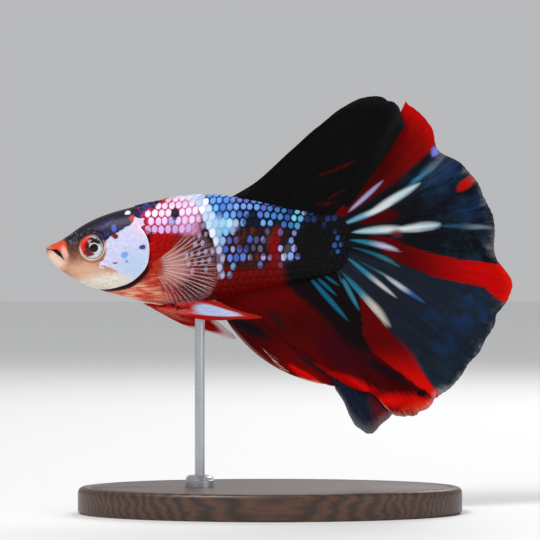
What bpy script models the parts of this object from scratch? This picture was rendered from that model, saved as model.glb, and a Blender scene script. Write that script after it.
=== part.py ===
"""A male betta fish at life size, as a still museum model held up by a plain display stand.

Lengths below are in millimetres and become metres where a mesh is made. The fish looks along -X, its back is
up (+Z) and its left side is at -Y. The origin is the middle of the underside of the stand's base.

The flesh is one lofted body, parted by thin cuts into head, lower jaw, gill covers, trunk and tail stalk.
Each fin is one sheet of ray columns: a column runs from the fin's root to the tip of its ray. All the fins but
the paired ones stand in the body's middle plane, which bends a little towards the tail and ripples at the edges.
"""

import math

import bmesh
import bpy
from mathutils import Matrix, Vector

MM = 0.001
GAP = 0.3  # left between neighbouring pieces
LEFT, RIGHT = -1, 1

# The body's cross-sections from the snout's tip to the root of the tail fin:
# place along X, height of the back, height of the belly, half of the width, fullness of the section
STATIONS = (
    (-33.72, 39.80, 39.40, 0.20, 2.0),
    (-33.50, 40.20, 38.75, 0.78, 2.0),
    (-32.95, 40.66, 37.90, 1.20, 2.1),
    (-32.00, 41.06, 36.95, 1.58, 2.2),
    (-30.60, 41.90, 35.72, 2.00, 2.3),
    (-28.80, 43.20, 34.55, 2.48, 2.4),
    (-26.60, 44.42, 33.72, 2.92, 2.4),
    (-24.00, 45.42, 33.00, 3.32, 2.4),
    (-21.00, 46.25, 32.28, 3.66, 2.3),
    (-17.50, 47.12, 31.42, 3.90, 2.2),
    (-13.00, 47.95, 30.90, 3.92, 2.2),
    (-8.00, 48.15, 32.05, 3.62, 2.1),
    (-3.00, 47.32, 33.35, 3.06, 2.0),
    (2.00, 46.20, 34.30, 2.42, 2.0),
    (6.50, 45.45, 35.20, 1.76, 2.0),
    (10.80, 45.35, 36.25, 1.12, 2.0),
)
WIDEST = 0.47  # height of the widest line, as a share of the depth
SECTION_SIDES = 24
HEAD_END, TRUNK_END = -17.6, 0.5  # where the cuts behind the head and behind the trunk lie

BEND_START, BEND_LENGTH, BEND = -5.0, 16.0, 1.2  # the tail's bend to the right: start, run and sideways reach
LEAN = 1.5  # how far the rear edges of dorsal and anal fin lie to the left at most

# Mouth, seen from the side: tip, corner and the foot of the cut between lower jaw and throat
MOUTH = ((-34.6, 39.86), (-32.50, 39.62), (-31.00, 38.25), (-30.45, 34.80))

EYE_AT = (-26.90, 40.05)
EYE_RADIUS, EYE_HALF_DEPTH = 1.87, 1.15
EYE_OUT = 2.25  # distance of its centre from the middle plane

# Gill cover, seen from the side, from its upper front corner round its free rear edge
GILL_COVER = (
    (-24.5, 42.4),
    (-22.2, 43.7),
    (-19.9, 43.2),
    (-18.4, 41.4),
    (-18.0, 39.2),
    (-18.7, 36.8),
    (-20.6, 35.1),
    (-23.3, 34.2),
    (-25.6, 34.6),
    (-25.7, 37.2),
    (-24.8, 39.8),
)
COVER_INNER = 1.3  # distance of its inner face from the middle plane
COVER_LIFT = 0.32  # how far its rear edge stands out of the head

# Each fin: root line, then the tips of evenly spaced rays from the front or upper ray to the last
DORSAL_ROOT = ((-5.3, 48.25), (0.0, 46.95), (5.0, 45.95), (10.5, 45.72))
DORSAL_TIPS = (
    (-4.5, 49.0),
    (-1.7, 50.3),
    (2.8, 54.4),
    (7.0, 58.2),
    (10.5, 61.0),
    (13.7, 62.7),
    (16.5, 63.1),
    (18.7, 62.3),
    (20.0, 60.8),
    (20.5, 58.7),
)
ANAL_ROOT = (
    (-8.0, 31.7),
    (-0.4, 33.5),
    (2.1, 34.0),
    (4.8, 34.6),
    (6.1, 34.9),
    (7.2, 35.15),
    (7.9, 35.3),
    (8.5, 35.45),
    (9.0, 35.55),
    (9.7, 35.7),
)
ANAL_TIPS = (
    (7.4, 19.5),
    (9.8, 19.0),
    (11.7, 15.6),
    (13.3, 12.5),
    (15.5, 11.8),
    (17.0, 13.4),
    (19.2, 14.2),
    (21.9, 14.6),
    (24.2, 15.9),
    (25.4, 18.0),
)
TAIL_ROOT = ((11.15, 45.3), (11.45, 43.0), (11.5, 40.8), (11.45, 38.6), (11.1, 36.3))
TAIL_TIPS = (
    (20.6, 62.3),
    (24.4, 59.0),
    (25.7, 54.9),
    (29.3, 52.8),
    (32.0, 49.4),
    (33.7, 45.9),
    (34.5, 42.4),
    (34.7, 38.9),
    (37.0, 34.2),
    (35.0, 30.3),
    (33.3, 26.6),
    (30.9, 22.6),
    (28.0, 19.1),
    (25.3, 17.2),
)
PECTORAL_ROOT = ((-16.9, 38.2), (-16.7, 37.0), (-16.9, 35.8))
PECTORAL_TIPS = (
    (-12.6, 42.3),
    (-10.0, 42.1),
    (-8.3, 40.4),
    (-7.6, 38.0),
    (-7.6, 35.6),
    (-8.4, 33.3),
    (-10.4, 31.9),
    (-13.0, 31.2),
    (-15.4, 31.9),
)
PELVIC_ROOT = ((-15.3, 31.6), (-16.9, 31.2), (-18.7, 31.4))
LEFT_PELVIC_TIPS = ((-7.6, 31.6), (-4.2, 30.5), (-0.9, 29.6), (-4.6, 29.2), (-9.0, 29.05))
RIGHT_PELVIC_TIPS = ((-9.8, 29.9), (-7.4, 28.4), (-5.0, 26.1), (-8.8, 27.0), (-11.8, 27.7))

BASE_LENGTH, BASE_WIDTH, BASE_HEIGHT, BASE_BEVEL = 58.0, 34.0, 4.0, 0.9
ROD_X, ROD_RADIUS, ROD_SIDES = -10.6, 0.75, 20
ROD_SEAT = 1.6  # depth of the rod's blind holes in the base and in the belly
COLLAR_RADIUS, COLLAR_HEIGHT = 2.2, 1.4


def smooth(rows, share):
    """A point on the smooth curve (Catmull-Rom) through evenly spaced rows, with share from 0 to 1."""
    place = min(max(share, 0.0), 1.0) * (len(rows) - 1)
    index = min(int(place), len(rows) - 2)
    t = place - index
    before, start, end, after = (rows[min(max(index + k, 0), len(rows) - 1)] for k in (-1, 0, 1, 2))
    return tuple(
        0.5 * (2 * b + (c - a) * t + (2 * a - 5 * b + 4 * c - d) * t**2 + (3 * b - a - 3 * c + d) * t**3)
        for a, b, c, d in zip(before, start, end, after)
    )


def mix(a, b, share):
    return a + (b - a) * share


def ease(value, start, end):
    """0 before start, 1 after end, and a smooth step between them."""
    share = min(max((value - start) / (end - start), 0.0), 1.0)
    return share * share * (3 - 2 * share)


def share_at(x):
    """The share of the way along STATIONS at which the body is at x."""
    low, high = 0.0, 1.0
    for _ in range(40):
        middle = (low + high) / 2
        if smooth(STATIONS, middle)[0] < x:
            low = middle
        else:
            high = middle
    return low


def bend(x):
    """How far the body's middle plane lies to the right at x: a curve to the tail's root, then straight on."""
    run = max(x - BEND_START, 0.0) / BEND_LENGTH
    return BEND * (run**2 if run < 1 else 2 * run - 1)


def half_width(x, z):
    """The body's half width at x, at height z."""
    _, back, belly, width, fullness = smooth(STATIONS, share_at(x))
    widest = mix(belly, back, WIDEST)
    reach = (back - widest) if z > widest else (widest - belly)
    return width * max(1 - (abs(z - widest) / reach) ** fullness, 0.0) ** (1 / fullness)


# ---------------------------------------------------------------------------------------------- meshes


def material(name, colour, roughness, metallic=0.0):
    made = bpy.data.materials.new(name)
    made.use_nodes = True
    shader = made.node_tree.nodes["Principled BSDF"]
    shader.inputs["Base Color"].default_value = (*colour, 1.0)
    shader.inputs["Roughness"].default_value = roughness
    shader.inputs["Metallic"].default_value = metallic
    return made


def add(name, mesh_maker, finish):
    """Adds a node: its mesh from a bmesh in millimetres, with its faces turned outwards and shaded smooth."""
    mesh = bpy.data.meshes.new(name)
    bmesh.ops.recalc_face_normals(mesh_maker, faces=mesh_maker.faces)
    bmesh.ops.scale(mesh_maker, vec=Vector((MM, MM, MM)), verts=mesh_maker.verts)
    mesh_maker.to_mesh(mesh)
    mesh_maker.free()
    mesh.materials.append(finish)
    mesh.shade_smooth()
    mesh.set_sharp_from_angle(angle=math.radians(50))
    made = bpy.data.objects.new(name, mesh)
    bpy.context.scene.collection.objects.link(made)
    return made


def loft(rings, closed_ends=True):
    """A bmesh skinned over rings of points that all have the same count."""
    made = bmesh.new()
    loops = [[made.verts.new(point) for point in ring] for ring in rings]
    for near, far in zip(loops, loops[1:]):
        for i in range(len(near)):
            j = (i + 1) % len(near)
            made.faces.new((near[i], near[j], far[j], far[i]))
    if closed_ends:
        made.faces.new(loops[0])
        made.faces.new(loops[-1])
    return made


def prism(outline, y_from, y_to):
    """A bmesh of a side-view outline, run from y_from to y_to."""
    return loft([[(x, y, z) for x, z in outline] for y in (y_from, y_to)])


def cutter(name, mesh_maker):
    """A hidden object that Boolean modifiers cut with."""
    made = add(name, mesh_maker, bpy.data.materials["red_flank"])
    made.hide_render = True
    made.display_type = "WIRE"
    return made


def combine(target, tool, operation):
    """A Boolean modifier: DIFFERENCE cuts the tool away, INTERSECT keeps what it covers."""
    step = target.modifiers.new(f"{operation.lower()}_{tool.name}", "BOOLEAN")
    step.operation = operation
    step.object = tool
    step.solver = "EXACT"


# ---------------------------------------------------------------------------------------------- flesh


def section(share, lift=0.0):
    """One ring of the body, widened on each side by lift."""
    x, back, belly, width, fullness = smooth(STATIONS, share)
    widest = mix(belly, back, WIDEST)
    ring = []
    for i in range(SECTION_SIDES):
        angle = 2 * math.pi * i / SECTION_SIDES
        across = math.copysign(abs(math.cos(angle)) ** (2 / fullness), math.cos(angle))
        up = math.copysign(abs(math.sin(angle)) ** (2 / fullness), math.sin(angle))
        reach = (back - widest) if up > 0 else (widest - belly)
        ring.append((x, bend(x) + (width + lift) * across, widest + reach * up))
    return ring


def body_length(x_from, x_to, rings, lift=None):
    """A bmesh of the body from x_from to x_to. lift gives the extra half width at x."""
    start, end = share_at(x_from), share_at(x_to)
    shares = [mix(start, end, i / (rings - 1)) for i in range(rings)]
    return loft([section(s, lift(smooth(STATIONS, s)[0]) if lift else 0.0) for s in shares])


def grown(outline, by):
    """A convex outline moved outwards by a margin, away from its middle."""
    middle = [sum(p[k] for p in outline) / len(outline) for k in (0, 1)]
    made = []
    for x, z in outline:
        dx, dz = x - middle[0], z - middle[1]
        reach = math.hypot(dx, dz)
        made.append((x + dx / reach * by, z + dz / reach * by))
    return made


def eyeball(radius, half_depth, side):
    """A bmesh of one eye: a ball flattened towards the head's middle plane."""
    made = bmesh.new()
    bmesh.ops.create_uvsphere(made, u_segments=18, v_segments=10, radius=1.0)
    pole_outwards = Matrix.Rotation(math.radians(-90), 3, "X")
    bmesh.ops.rotate(made, cent=(0, 0, 0), matrix=pole_outwards, verts=made.verts)
    bmesh.ops.scale(made, vec=Vector((radius, half_depth, radius)), verts=made.verts)
    bmesh.ops.translate(made, vec=Vector((EYE_AT[0], side * EYE_OUT, EYE_AT[1])), verts=made.verts)
    return made


def build_head(flesh, white, iris):
    """Head, lower jaw, gill covers and eyes, parted from one another by thin cuts."""
    snout = STATIONS[0][0]
    head = add("head", body_length(snout, HEAD_END - GAP / 2, 19), flesh)
    jaw = add("lower_jaw", body_length(snout, MOUTH[-1][0] + 1, 9), flesh)

    chin = (MOUTH[0][0], MOUTH[-1][1])
    combine(jaw, cutter("jaw_shape", prism([*MOUTH, chin], -5, 5)), "INTERSECT")
    above = [(x + GAP * k, z + GAP) for (x, z), k in zip(MOUTH, (0.0, 0.4, 1.1, 1.3))]
    above[-1] = (above[-1][0], MOUTH[-1][1] - 1)
    combine(head, cutter("jaw_room", prism([*above, (chin[0], chin[1] - 1)], -5, 5)), "DIFFERENCE")

    outline = [smooth((*GILL_COVER, GILL_COVER[0]), i / 26) for i in range(26)]
    for side, name in ((LEFT, "left"), (RIGHT, "right")):
        socket = cutter(f"socket_{name}", eyeball(EYE_RADIUS + GAP, EYE_HALF_DEPTH + GAP, side))
        combine(head, socket, "DIFFERENCE")
        add(f"eye_{name}", eyeball(EYE_RADIUS, EYE_HALF_DEPTH, side), iris)

        raised = body_length(-28, -17, 11, lift=lambda x: COVER_LIFT * ease(x, -25.5, -19))
        cover = add(f"gill_cover_{name}", raised, white)
        shape = prism(outline, side * COVER_INNER, side * 6)
        combine(cover, cutter(f"cover_shape_{name}", shape), "INTERSECT")
        room = prism(grown(outline, GAP), side * (COVER_INNER - GAP), side * 6)
        combine(head, cutter(f"cover_room_{name}", room), "DIFFERENCE")


def build_trunk(flesh, dark, rod_room):
    """Trunk and tail stalk. The trunk has the blind hole that the stand's rod goes into."""
    trunk = add("trunk", body_length(HEAD_END + GAP / 2, TRUNK_END - GAP / 2, 13), flesh)
    combine(trunk, rod_room, "DIFFERENCE")
    add("tail_stalk", body_length(TRUNK_END + GAP / 2, STATIONS[-1][0], 9), dark)


# ---------------------------------------------------------------------------------------------- fins


def fin(name, root, tips, finish, bow, place, thickness, between=3, rows=9, ridge=0.14):
    """A fin's solid, as a grid of ray columns by rows from root to edge.

    bow holds how far evenly spaced columns swing off their straight lines, as shares of their lengths. place
    gives the sheet's y at a point, u and v. thickness is (at the root, at the edge); a ray adds ridge to it.
    """
    columns = (len(tips) - 1) * between + 1
    sides = {LEFT: [], RIGHT: []}
    for i in range(columns):
        u = i / (columns - 1)
        on_ray = abs(math.cos(math.pi * i / between))
        start, end = Vector(smooth(root, u)), Vector(smooth(tips, u))
        run = end - start
        swing = Vector((-run.y, run.x)) * smooth([(share,) for share in bow], u)[0]
        end = start + run * mix(0.975, 1.0, on_ray)
        line = []
        for j in range(rows):
            v = j / (rows - 1)
            point = start.lerp(end, v) + swing * 4 * v * (1 - v)
            thick = mix(thickness[0], thickness[1], min(1.0, 1.6 * v)) + ridge * on_ray * (1 - 0.6 * v)
            line.append((point, place(point, u, v), thick))
        for side in sides:
            sides[side].append([(p.x, y + side * t / 2, p.y) for p, y, t in line])

    made = bmesh.new()
    grid = {s: [[made.verts.new(p) for p in line] for line in lines] for s, lines in sides.items()}
    for sheet in grid.values():
        for i in range(columns - 1):
            for j in range(rows - 1):
                made.faces.new((sheet[i][j], sheet[i + 1][j], sheet[i + 1][j + 1], sheet[i][j + 1]))
    rim = (
        [(i, 0) for i in range(columns)]
        + [(columns - 1, j) for j in range(1, rows)]
        + [(i, rows - 1) for i in reversed(range(columns - 1))]
        + [(0, j) for j in reversed(range(1, rows - 1))]
    )
    for (i, j), (k, m) in zip(rim, rim[1:] + rim[:1]):
        made.faces.new((grid[LEFT][i][j], grid[LEFT][k][m], grid[RIGHT][k][m], grid[RIGHT][i][j]))
    return add(name, made, finish)


def ripple(u, v, height, waves, phase):
    """The sideways ripple of a soft fin, which grows from its root to its edge."""
    broad = math.sin(2 * math.pi * waves * u + phase)
    fine = 0.4 * math.sin(2 * math.pi * (2.3 * waves) * u + 2.1 * phase + 2 * v)
    return height * v**1.5 * (broad + fine)


def lean(u, v):
    """How far a fin's rear lies to the left at u, v, so that it passes beside the tail fin."""
    return -LEAN * u * u * v * (2 - v)


def build_middle_fins(black, red):
    """Dorsal, anal and tail fin, in the body's bending middle plane."""
    fin(
        "dorsal_fin",
        DORSAL_ROOT,
        DORSAL_TIPS,
        black,
        bow=(0.0, 0.03, 0.0, -0.04),
        place=lambda p, u, v: bend(p.x) + lean(u, v) + ripple(u, v, 0.8, 1.1, 2.6),
        thickness=(0.95, 0.55),
        rows=8,
    )
    fin(
        "anal_fin",
        ANAL_ROOT,
        ANAL_TIPS,
        red,
        bow=(-0.09, 0.06, 0.12, 0.10, 0.055, 0.01, -0.02, -0.04, -0.06, -0.07),
        place=lambda p, u, v: bend(p.x) + lean(u, v) + ripple(u, v, 0.9, 1.6, 0.9),
        thickness=(0.95, 0.55),
    )
    fin(
        "tail_fin",
        TAIL_ROOT,
        TAIL_TIPS,
        black,
        bow=(-0.07, -0.05, -0.02, 0.0, 0.02, 0.02, -0.09),
        place=lambda p, u, v: bend(p.x) * mix(1.0, 0.7, v) + ripple(u, v, 1.2, 2.4, 0.4),
        thickness=(1.5, 0.6),
    )


def build_paired_fins(clear, red):
    """Pectoral fins, fanned out from the flanks, and pelvic fins, trailed below the belly."""
    for side, name in ((LEFT, "left"), (RIGHT, "right")):
        root_x, root_z = PECTORAL_ROOT[1]
        hinge = half_width(root_x, root_z) + GAP + 0.35

        def fan(p, u, v, side=side, hinge=hinge):
            reach = math.hypot(p.x - root_x, p.y - root_z)
            return side * (hinge + 0.30 * reach + 0.25 * math.sin(math.pi * v) + ripple(u, v, 0.25, 2.0, 1.0))

        fin(
            f"pectoral_fin_{name}",
            PECTORAL_ROOT,
            PECTORAL_TIPS,
            clear,
            bow=(-0.05, 0.0, 0.08),
            place=fan,
            thickness=(0.7, 0.5),
            between=2,
            rows=6,
            ridge=0.1,
        )

        def trail(p, u, v, side=side):
            clear_of_belly = half_width(PELVIC_ROOT[1][0], PELVIC_ROOT[1][1] + 0.9) + GAP
            return side * (clear_of_belly + 1.5 * math.sin(0.5 * math.pi * min(1.0, 1.4 * v)) + 0.3 * u)

        fin(
            f"pelvic_fin_{name}",
            PELVIC_ROOT,
            LEFT_PELVIC_TIPS if side == LEFT else RIGHT_PELVIC_TIPS,
            red,
            bow=(0.03, 0.0, -0.02),
            place=trail,
            thickness=(0.8, 0.5),
            between=3,
            rows=7,
            ridge=0.1,
        )


# ---------------------------------------------------------------------------------------------- stand


def cylinder(radius, z_from, z_to, x=0.0, sides=ROD_SIDES, stretch=1.0):
    """A bmesh of an upright round or, with stretch, oval cylinder."""
    angles = [2 * math.pi * i / sides for i in range(sides)]
    circle = [(x + radius * math.cos(a), radius * stretch * math.sin(a)) for a in angles]
    return loft([[(px, py, z) for px, py in circle] for z in (z_from, z_to)])


def build_stand(wood, steel):
    """An oval base, a rod from a hole in it up into the belly, and the collar round the rod's foot."""
    rod_foot, rod_top = BASE_HEIGHT - ROD_SEAT, 31.2 + ROD_SEAT
    hole = cutter("base_hole", cylinder(ROD_RADIUS + GAP, rod_foot - GAP, BASE_HEIGHT + 2, ROD_X))

    base = add(
        "stand_base",
        cylinder(BASE_LENGTH / 2, 0, BASE_HEIGHT, sides=64, stretch=BASE_WIDTH / BASE_LENGTH),
        wood,
    )
    edge = base.modifiers.new("rounded_edge", "BEVEL")
    edge.width = BASE_BEVEL * MM
    edge.segments = 2
    edge.limit_method = "ANGLE"
    edge.angle_limit = math.radians(60)
    combine(base, hole, "DIFFERENCE")

    add("stand_rod", cylinder(ROD_RADIUS, rod_foot, rod_top - GAP, ROD_X), steel)

    collar_foot = BASE_HEIGHT + GAP
    collar = add(
        "stand_collar", cylinder(COLLAR_RADIUS, collar_foot, collar_foot + COLLAR_HEIGHT, ROD_X, 28), steel
    )
    bore = cutter(
        "collar_bore", cylinder(ROD_RADIUS + GAP, collar_foot - 1, collar_foot + COLLAR_HEIGHT + 1, ROD_X)
    )
    combine(collar, bore, "DIFFERENCE")
    return cutter("rod_room", cylinder(ROD_RADIUS + GAP, 25, rod_top, ROD_X))


def main():
    for old in list(bpy.data.objects):
        bpy.data.objects.remove(old, do_unlink=True)

    flesh = material("red_flank", (0.42, 0.05, 0.04), 0.45)
    white = material("white_cover", (0.75, 0.76, 0.85), 0.4)
    dark = material("dark_stalk", (0.02, 0.02, 0.03), 0.45)
    iris = material("silver_iris", (0.55, 0.58, 0.62), 0.2)
    black = material("black_fin", (0.012, 0.016, 0.028), 0.5)
    red = material("red_fin", (0.45, 0.008, 0.006), 0.5)
    clear = material("clear_fin", (0.62, 0.40, 0.38), 0.5)
    wood = material("dark_wood", (0.06, 0.035, 0.02), 0.4)
    steel = material("brushed_steel", (0.5, 0.5, 0.5), 0.3, metallic=1.0)

    rod_room = build_stand(wood, steel)
    build_head(flesh, white, iris)
    build_trunk(flesh, dark, rod_room)
    build_middle_fins(black, red)
    build_paired_fins(clear, red)


main()
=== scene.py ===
"""A male betta fish as a still museum model on a plain stand: its looks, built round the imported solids."""

import math

import bpy
import numpy as np
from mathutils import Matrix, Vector


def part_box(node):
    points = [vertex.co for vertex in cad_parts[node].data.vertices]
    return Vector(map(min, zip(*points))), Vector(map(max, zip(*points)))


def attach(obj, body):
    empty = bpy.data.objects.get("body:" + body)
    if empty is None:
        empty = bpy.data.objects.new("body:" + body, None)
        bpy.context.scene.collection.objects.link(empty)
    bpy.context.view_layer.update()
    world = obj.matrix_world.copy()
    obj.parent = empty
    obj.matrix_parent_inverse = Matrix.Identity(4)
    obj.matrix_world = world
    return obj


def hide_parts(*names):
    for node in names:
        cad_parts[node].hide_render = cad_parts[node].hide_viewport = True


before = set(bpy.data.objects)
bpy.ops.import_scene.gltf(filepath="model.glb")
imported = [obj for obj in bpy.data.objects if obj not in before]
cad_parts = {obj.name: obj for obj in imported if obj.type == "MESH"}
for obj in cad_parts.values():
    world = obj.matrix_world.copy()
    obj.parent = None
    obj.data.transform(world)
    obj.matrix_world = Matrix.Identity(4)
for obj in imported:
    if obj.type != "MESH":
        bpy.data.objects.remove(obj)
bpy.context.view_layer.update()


# ---------------------------------------------------------------------------- the skin
# A betta's skin is one moist sheet over head, trunk and tail stalk. It is lofted through cross-sections,
# then pressed and raised for lips, nostrils, eye sockets and the free edge of the gill covers. It lies
# inside the solids by the depth of the scales that are laid over it.
MM = 0.001  # shapes are worked out in millimetres
SCALE_DEPTH = 0.12

# place along X, height of the back, height of the belly, half of the width, fullness of the section
STATIONS = np.array(
    (
        (-33.72, 39.80, 39.40, 0.20, 2.0),
        (-33.50, 40.20, 38.75, 0.78, 2.0),
        (-32.95, 40.66, 37.90, 1.20, 2.1),
        (-32.00, 41.06, 36.95, 1.58, 2.2),
        (-30.60, 41.90, 35.72, 2.00, 2.3),
        (-28.80, 43.20, 34.55, 2.48, 2.4),
        (-26.60, 44.42, 33.72, 2.92, 2.4),
        (-24.00, 45.42, 33.00, 3.32, 2.4),
        (-21.00, 46.25, 32.28, 3.66, 2.3),
        (-17.50, 47.12, 31.42, 3.90, 2.2),
        (-13.00, 47.95, 30.90, 3.92, 2.2),
        (-8.00, 48.15, 32.05, 3.62, 2.1),
        (-3.00, 47.32, 33.35, 3.06, 2.0),
        (2.00, 46.20, 34.30, 2.42, 2.0),
        (6.50, 45.45, 35.20, 1.76, 2.0),
        (10.80, 45.35, 36.25, 1.12, 2.0),
        (13.40, 45.75, 36.05, 0.45, 2.0),
    )
)
WIDEST = 0.47  # height of the widest line, as a share of the depth
BEND_START, BEND_LENGTH, BEND = -5.0, 16.0, 1.2  # the tail's bend to the right
SNOUT, NAPE, RELIEF_END, SKIN_END = -33.72, -17.0, -16.5, 12.7
END_TAPER, END_WIDTH = 3.5, 0.45  # where the skin narrows inside the tail fin's root, and to what share
BODY_STEPS, SECTION_STEPS, LINE_STEPS = 4000, 400, 60  # samples along the body, up a section and on a line
TIP_LENGTH, TIP_RINGS, HEAD_RINGS, REAR_RINGS = 0.30, 14, 190, 150  # rings lie closer at the snout's tip
RING_SIDES = 320

MOUTH_LINE = ((-34.2, 39.55), (-33.4, 39.72), (-32.7, 39.72), (-32.1, 39.4), (-31.5, 38.8), (-31.0, 38.15))
MAXILLA = ((-32.4, 40.45), (-31.7, 40.2), (-31.1, 39.6), (-30.7, 38.8), (-30.55, 38.0))
NOSTRILS = ((-30.35, 40.62, 0.20), (-29.35, 41.35, 0.13))  # place, and half of the opening's width
EYE_RIM, EYE_FURROW, SOCKET_DEPTH = 0.17, 0.10, 1.35
LIP_RISE, MOUTH_DEPTH, MAXILLA_RISE = 0.12, 0.50, 0.10
MOUTH_SLIT, MOUTH_GAPE = 0.04, 0.25  # half of the mouth's opening at its ends, and what its middle adds
NOSTRIL_RIM, NOSTRIL_DEPTH = 0.09, 0.16
# The gill cover's free edge, from its top round the rear and forward under the throat
COVER_EDGE = (
    (-19.6, 43.3), (-18.7, 42.1), (-18.15, 40.6), (-18.1, 38.8), (-18.7, 36.9), (-20.7, 34.95),
    (-23.3, 34.0), (-25.7, 33.80), (-28.3, 34.62), (-31.0, 36.25),
)
COVER_RISE, COVER_RUN = 0.26, 2.0  # how far the edge stands out, and the length over which it rises
GAP_DEPTH, GAP_PLACE, GAP_WIDTH = 0.28, 0.24, 0.20  # the furrow behind the edge
PRECOVER_EDGE = ((-25.6, 41.2), (-25.3, 39.2), (-25.9, 37.2), (-27.2, 36.0), (-29.4, 36.3))
PRECOVER_DEPTH = 0.05
MAP_MARGIN, MAP_ROOM = 0.01, 0.98  # how an unwrap lies in its square
FAR_OFF = 9.0  # a distance at which no line is near

eye_low, eye_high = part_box("eye_left")
EYE_RADIUS = 0.95 * (eye_high.x - eye_low.x) / 2 / MM
EYE_X, EYE_Z = eye_high.x / MM - EYE_RADIUS + 0.10, (eye_low.z + eye_high.z) / 2 / MM


def smooth(rows, share):
    """Points on the smooth curve (Catmull-Rom) through evenly spaced rows, with share from 0 to 1."""
    rows = np.asarray(rows, float)
    place = np.clip(share, 0.0, 1.0) * (len(rows) - 1)
    index = np.minimum(place.astype(int), len(rows) - 2)
    t = (place - index)[..., None]
    a, b, c, d = (rows[np.clip(index + k, 0, len(rows) - 1)] for k in (-1, 0, 1, 2))
    return 0.5 * (2 * b + (c - a) * t + (2 * a - 5 * b + 4 * c - d) * t**2 + (3 * b - a - 3 * c + d) * t**3)


def mix(a, b, share):
    return a + (b - a) * share


def ease(value, start, end):
    """0 at start and before it, 1 at end and after it, and a smooth step between them."""
    share = np.clip((value - start) / (end - start), 0.0, 1.0)
    return share * share * (3 - 2 * share)


def bell(value, middle, width):
    return np.exp(-(((value - middle) / width) ** 2))


def unit(vectors):
    return vectors / np.maximum(np.linalg.norm(vectors, axis=-1, keepdims=True), 1e-9)


def bend(x):
    """How far the body's middle plane lies to the right at x."""
    run = np.maximum(x - BEND_START, 0.0) / BEND_LENGTH
    return BEND * np.where(run < 1, run**2, 2 * run - 1)


def half_rings(x_values, count):
    """Half sections from belly to back in even steps: half widths, heights, lengths and the widest line."""
    share = np.linspace(0, 1, BODY_STEPS)
    shares = np.interp(x_values, smooth(STATIONS, share)[:, 0], share)
    turn = np.linspace(0, math.pi, SECTION_STEPS)
    widths, heights, lengths, middles = [], [], [], []
    for at, back, belly, width, fullness in smooth(STATIONS, shares):
        width *= mix(1.0, END_WIDTH, ease(at, SKIN_END - END_TAPER, SKIN_END))
        widest = mix(belly, back, WIDEST)
        up = -np.sign(np.cos(turn)) * np.abs(np.cos(turn)) ** (2 / fullness)
        y = width * np.abs(np.sin(turn)) ** (2 / fullness)
        z = widest + np.where(up > 0, back - widest, widest - belly) * up
        run = np.append(0, np.cumsum(np.hypot(np.diff(y), np.diff(z))))
        even = np.linspace(0, run[-1], count)
        widths.append(np.interp(even, run, y))
        heights.append(np.interp(even, run, z))
        lengths.append(run[-1])
        middles.append(np.interp(widest, z, run))
    return np.array(widths), np.array(heights), np.array(lengths), np.array(middles)


def from_line(points, x, z):
    """Signed distance from a smooth line in the side view, positive on its left, and the share along it."""
    line = smooth(points, np.linspace(0, 1, LINE_STEPS + 1))
    best = np.full(x.shape, np.inf)
    signed, along = np.zeros(x.shape), np.zeros(x.shape)
    for i, (start, end) in enumerate(zip(line, line[1:])):
        run = end - start
        t = np.clip(((x - start[0]) * run[0] + (z - start[1]) * run[1]) / (run @ run), 0, 1)
        dx, dz = x - start[0] - run[0] * t, z - start[1] - run[1] * t
        far = np.hypot(dx, dz)
        nearer = far < best
        side = np.where(run[0] * dz - run[1] * dx >= 0, 1.0, -1.0)
        best = np.where(nearer, far, best)
        signed = np.where(nearer, far * side, signed)
        along = np.where(nearer, (i + t) / LINE_STEPS, along)
    return signed, along


def cover_profile(behind, along):
    """The free edge of a gill cover: the cover stands out, and the gap behind it is sunk."""
    strength = ease(along, 0.0, 0.14) * mix(1.0, 0.45, ease(along, 0.6, 1.0))
    cover = COVER_RISE * np.exp(-np.maximum(-behind, 0) / COVER_RUN) * ease(behind, 0.07, -0.03)
    gap = -GAP_DEPTH * bell(behind, GAP_PLACE, GAP_WIDTH) * (behind > -0.3)
    return strength * (cover + gap)


def mouth_opening(along):
    return MOUTH_SLIT + MOUTH_GAPE * np.clip(np.sin(math.pi * ease(along, 0.25, 1.0)), 0, 1)


def relief(x, z):
    """How far the head's skin stands out of the plain loft at a place in the side view."""
    made = np.zeros(x.shape)
    to_eye = np.hypot(x - EYE_X, z - EYE_Z)
    made += EYE_RIM * bell(to_eye, EYE_RADIUS + 0.20, 0.17)
    made -= SOCKET_DEPTH * ease(to_eye, EYE_RADIUS + 0.06, EYE_RADIUS - 0.10)
    made -= EYE_FURROW * bell(to_eye, EYE_RADIUS + 0.62, 0.22)

    lip, along = from_line(MOUTH_LINE, x, z)
    opening = mouth_opening(along)
    made += LIP_RISE * bell(np.abs(lip), opening + 0.20, 0.17) * ease(along, 1.0, 0.75)
    made -= MOUTH_DEPTH * ease(np.abs(lip), opening + 0.05, opening - 0.05) * ease(along, 1.0, 0.9)

    maxilla, along = from_line(MAXILLA, x, z)
    ends = ease(along, 1.0, 0.8) * ease(along, 0.0, 0.1)
    made += MAXILLA_RISE * ease(np.abs(maxilla), 0.52, 0.36) * ends
    for nostril_x, nostril_z, half_width in NOSTRILS:
        far = np.hypot(x - nostril_x, z - nostril_z)
        made += NOSTRIL_RIM * bell(far, half_width + 0.08, 0.10)
        made -= NOSTRIL_DEPTH * ease(far, half_width, half_width * 0.4)

    precover, along = from_line(PRECOVER_EDGE, x, z)
    made -= PRECOVER_DEPTH * bell(precover, 0.0, 0.14) * ease(along, 0.0, 0.1) * ease(along, 1.0, 0.8)
    return made + cover_profile(*from_line(COVER_EDGE, x, z))


def mesh_piece(name, points, faces):
    """A smooth shaded object from points in millimetres and faces of any size."""
    mesh = bpy.data.meshes.new(name)
    mesh.from_pydata((np.asarray(points) * MM).tolist(), [], faces)
    mesh.shade_smooth()
    piece = bpy.data.objects.new(name, mesh)
    bpy.context.scene.collection.objects.link(piece)
    return piece


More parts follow.
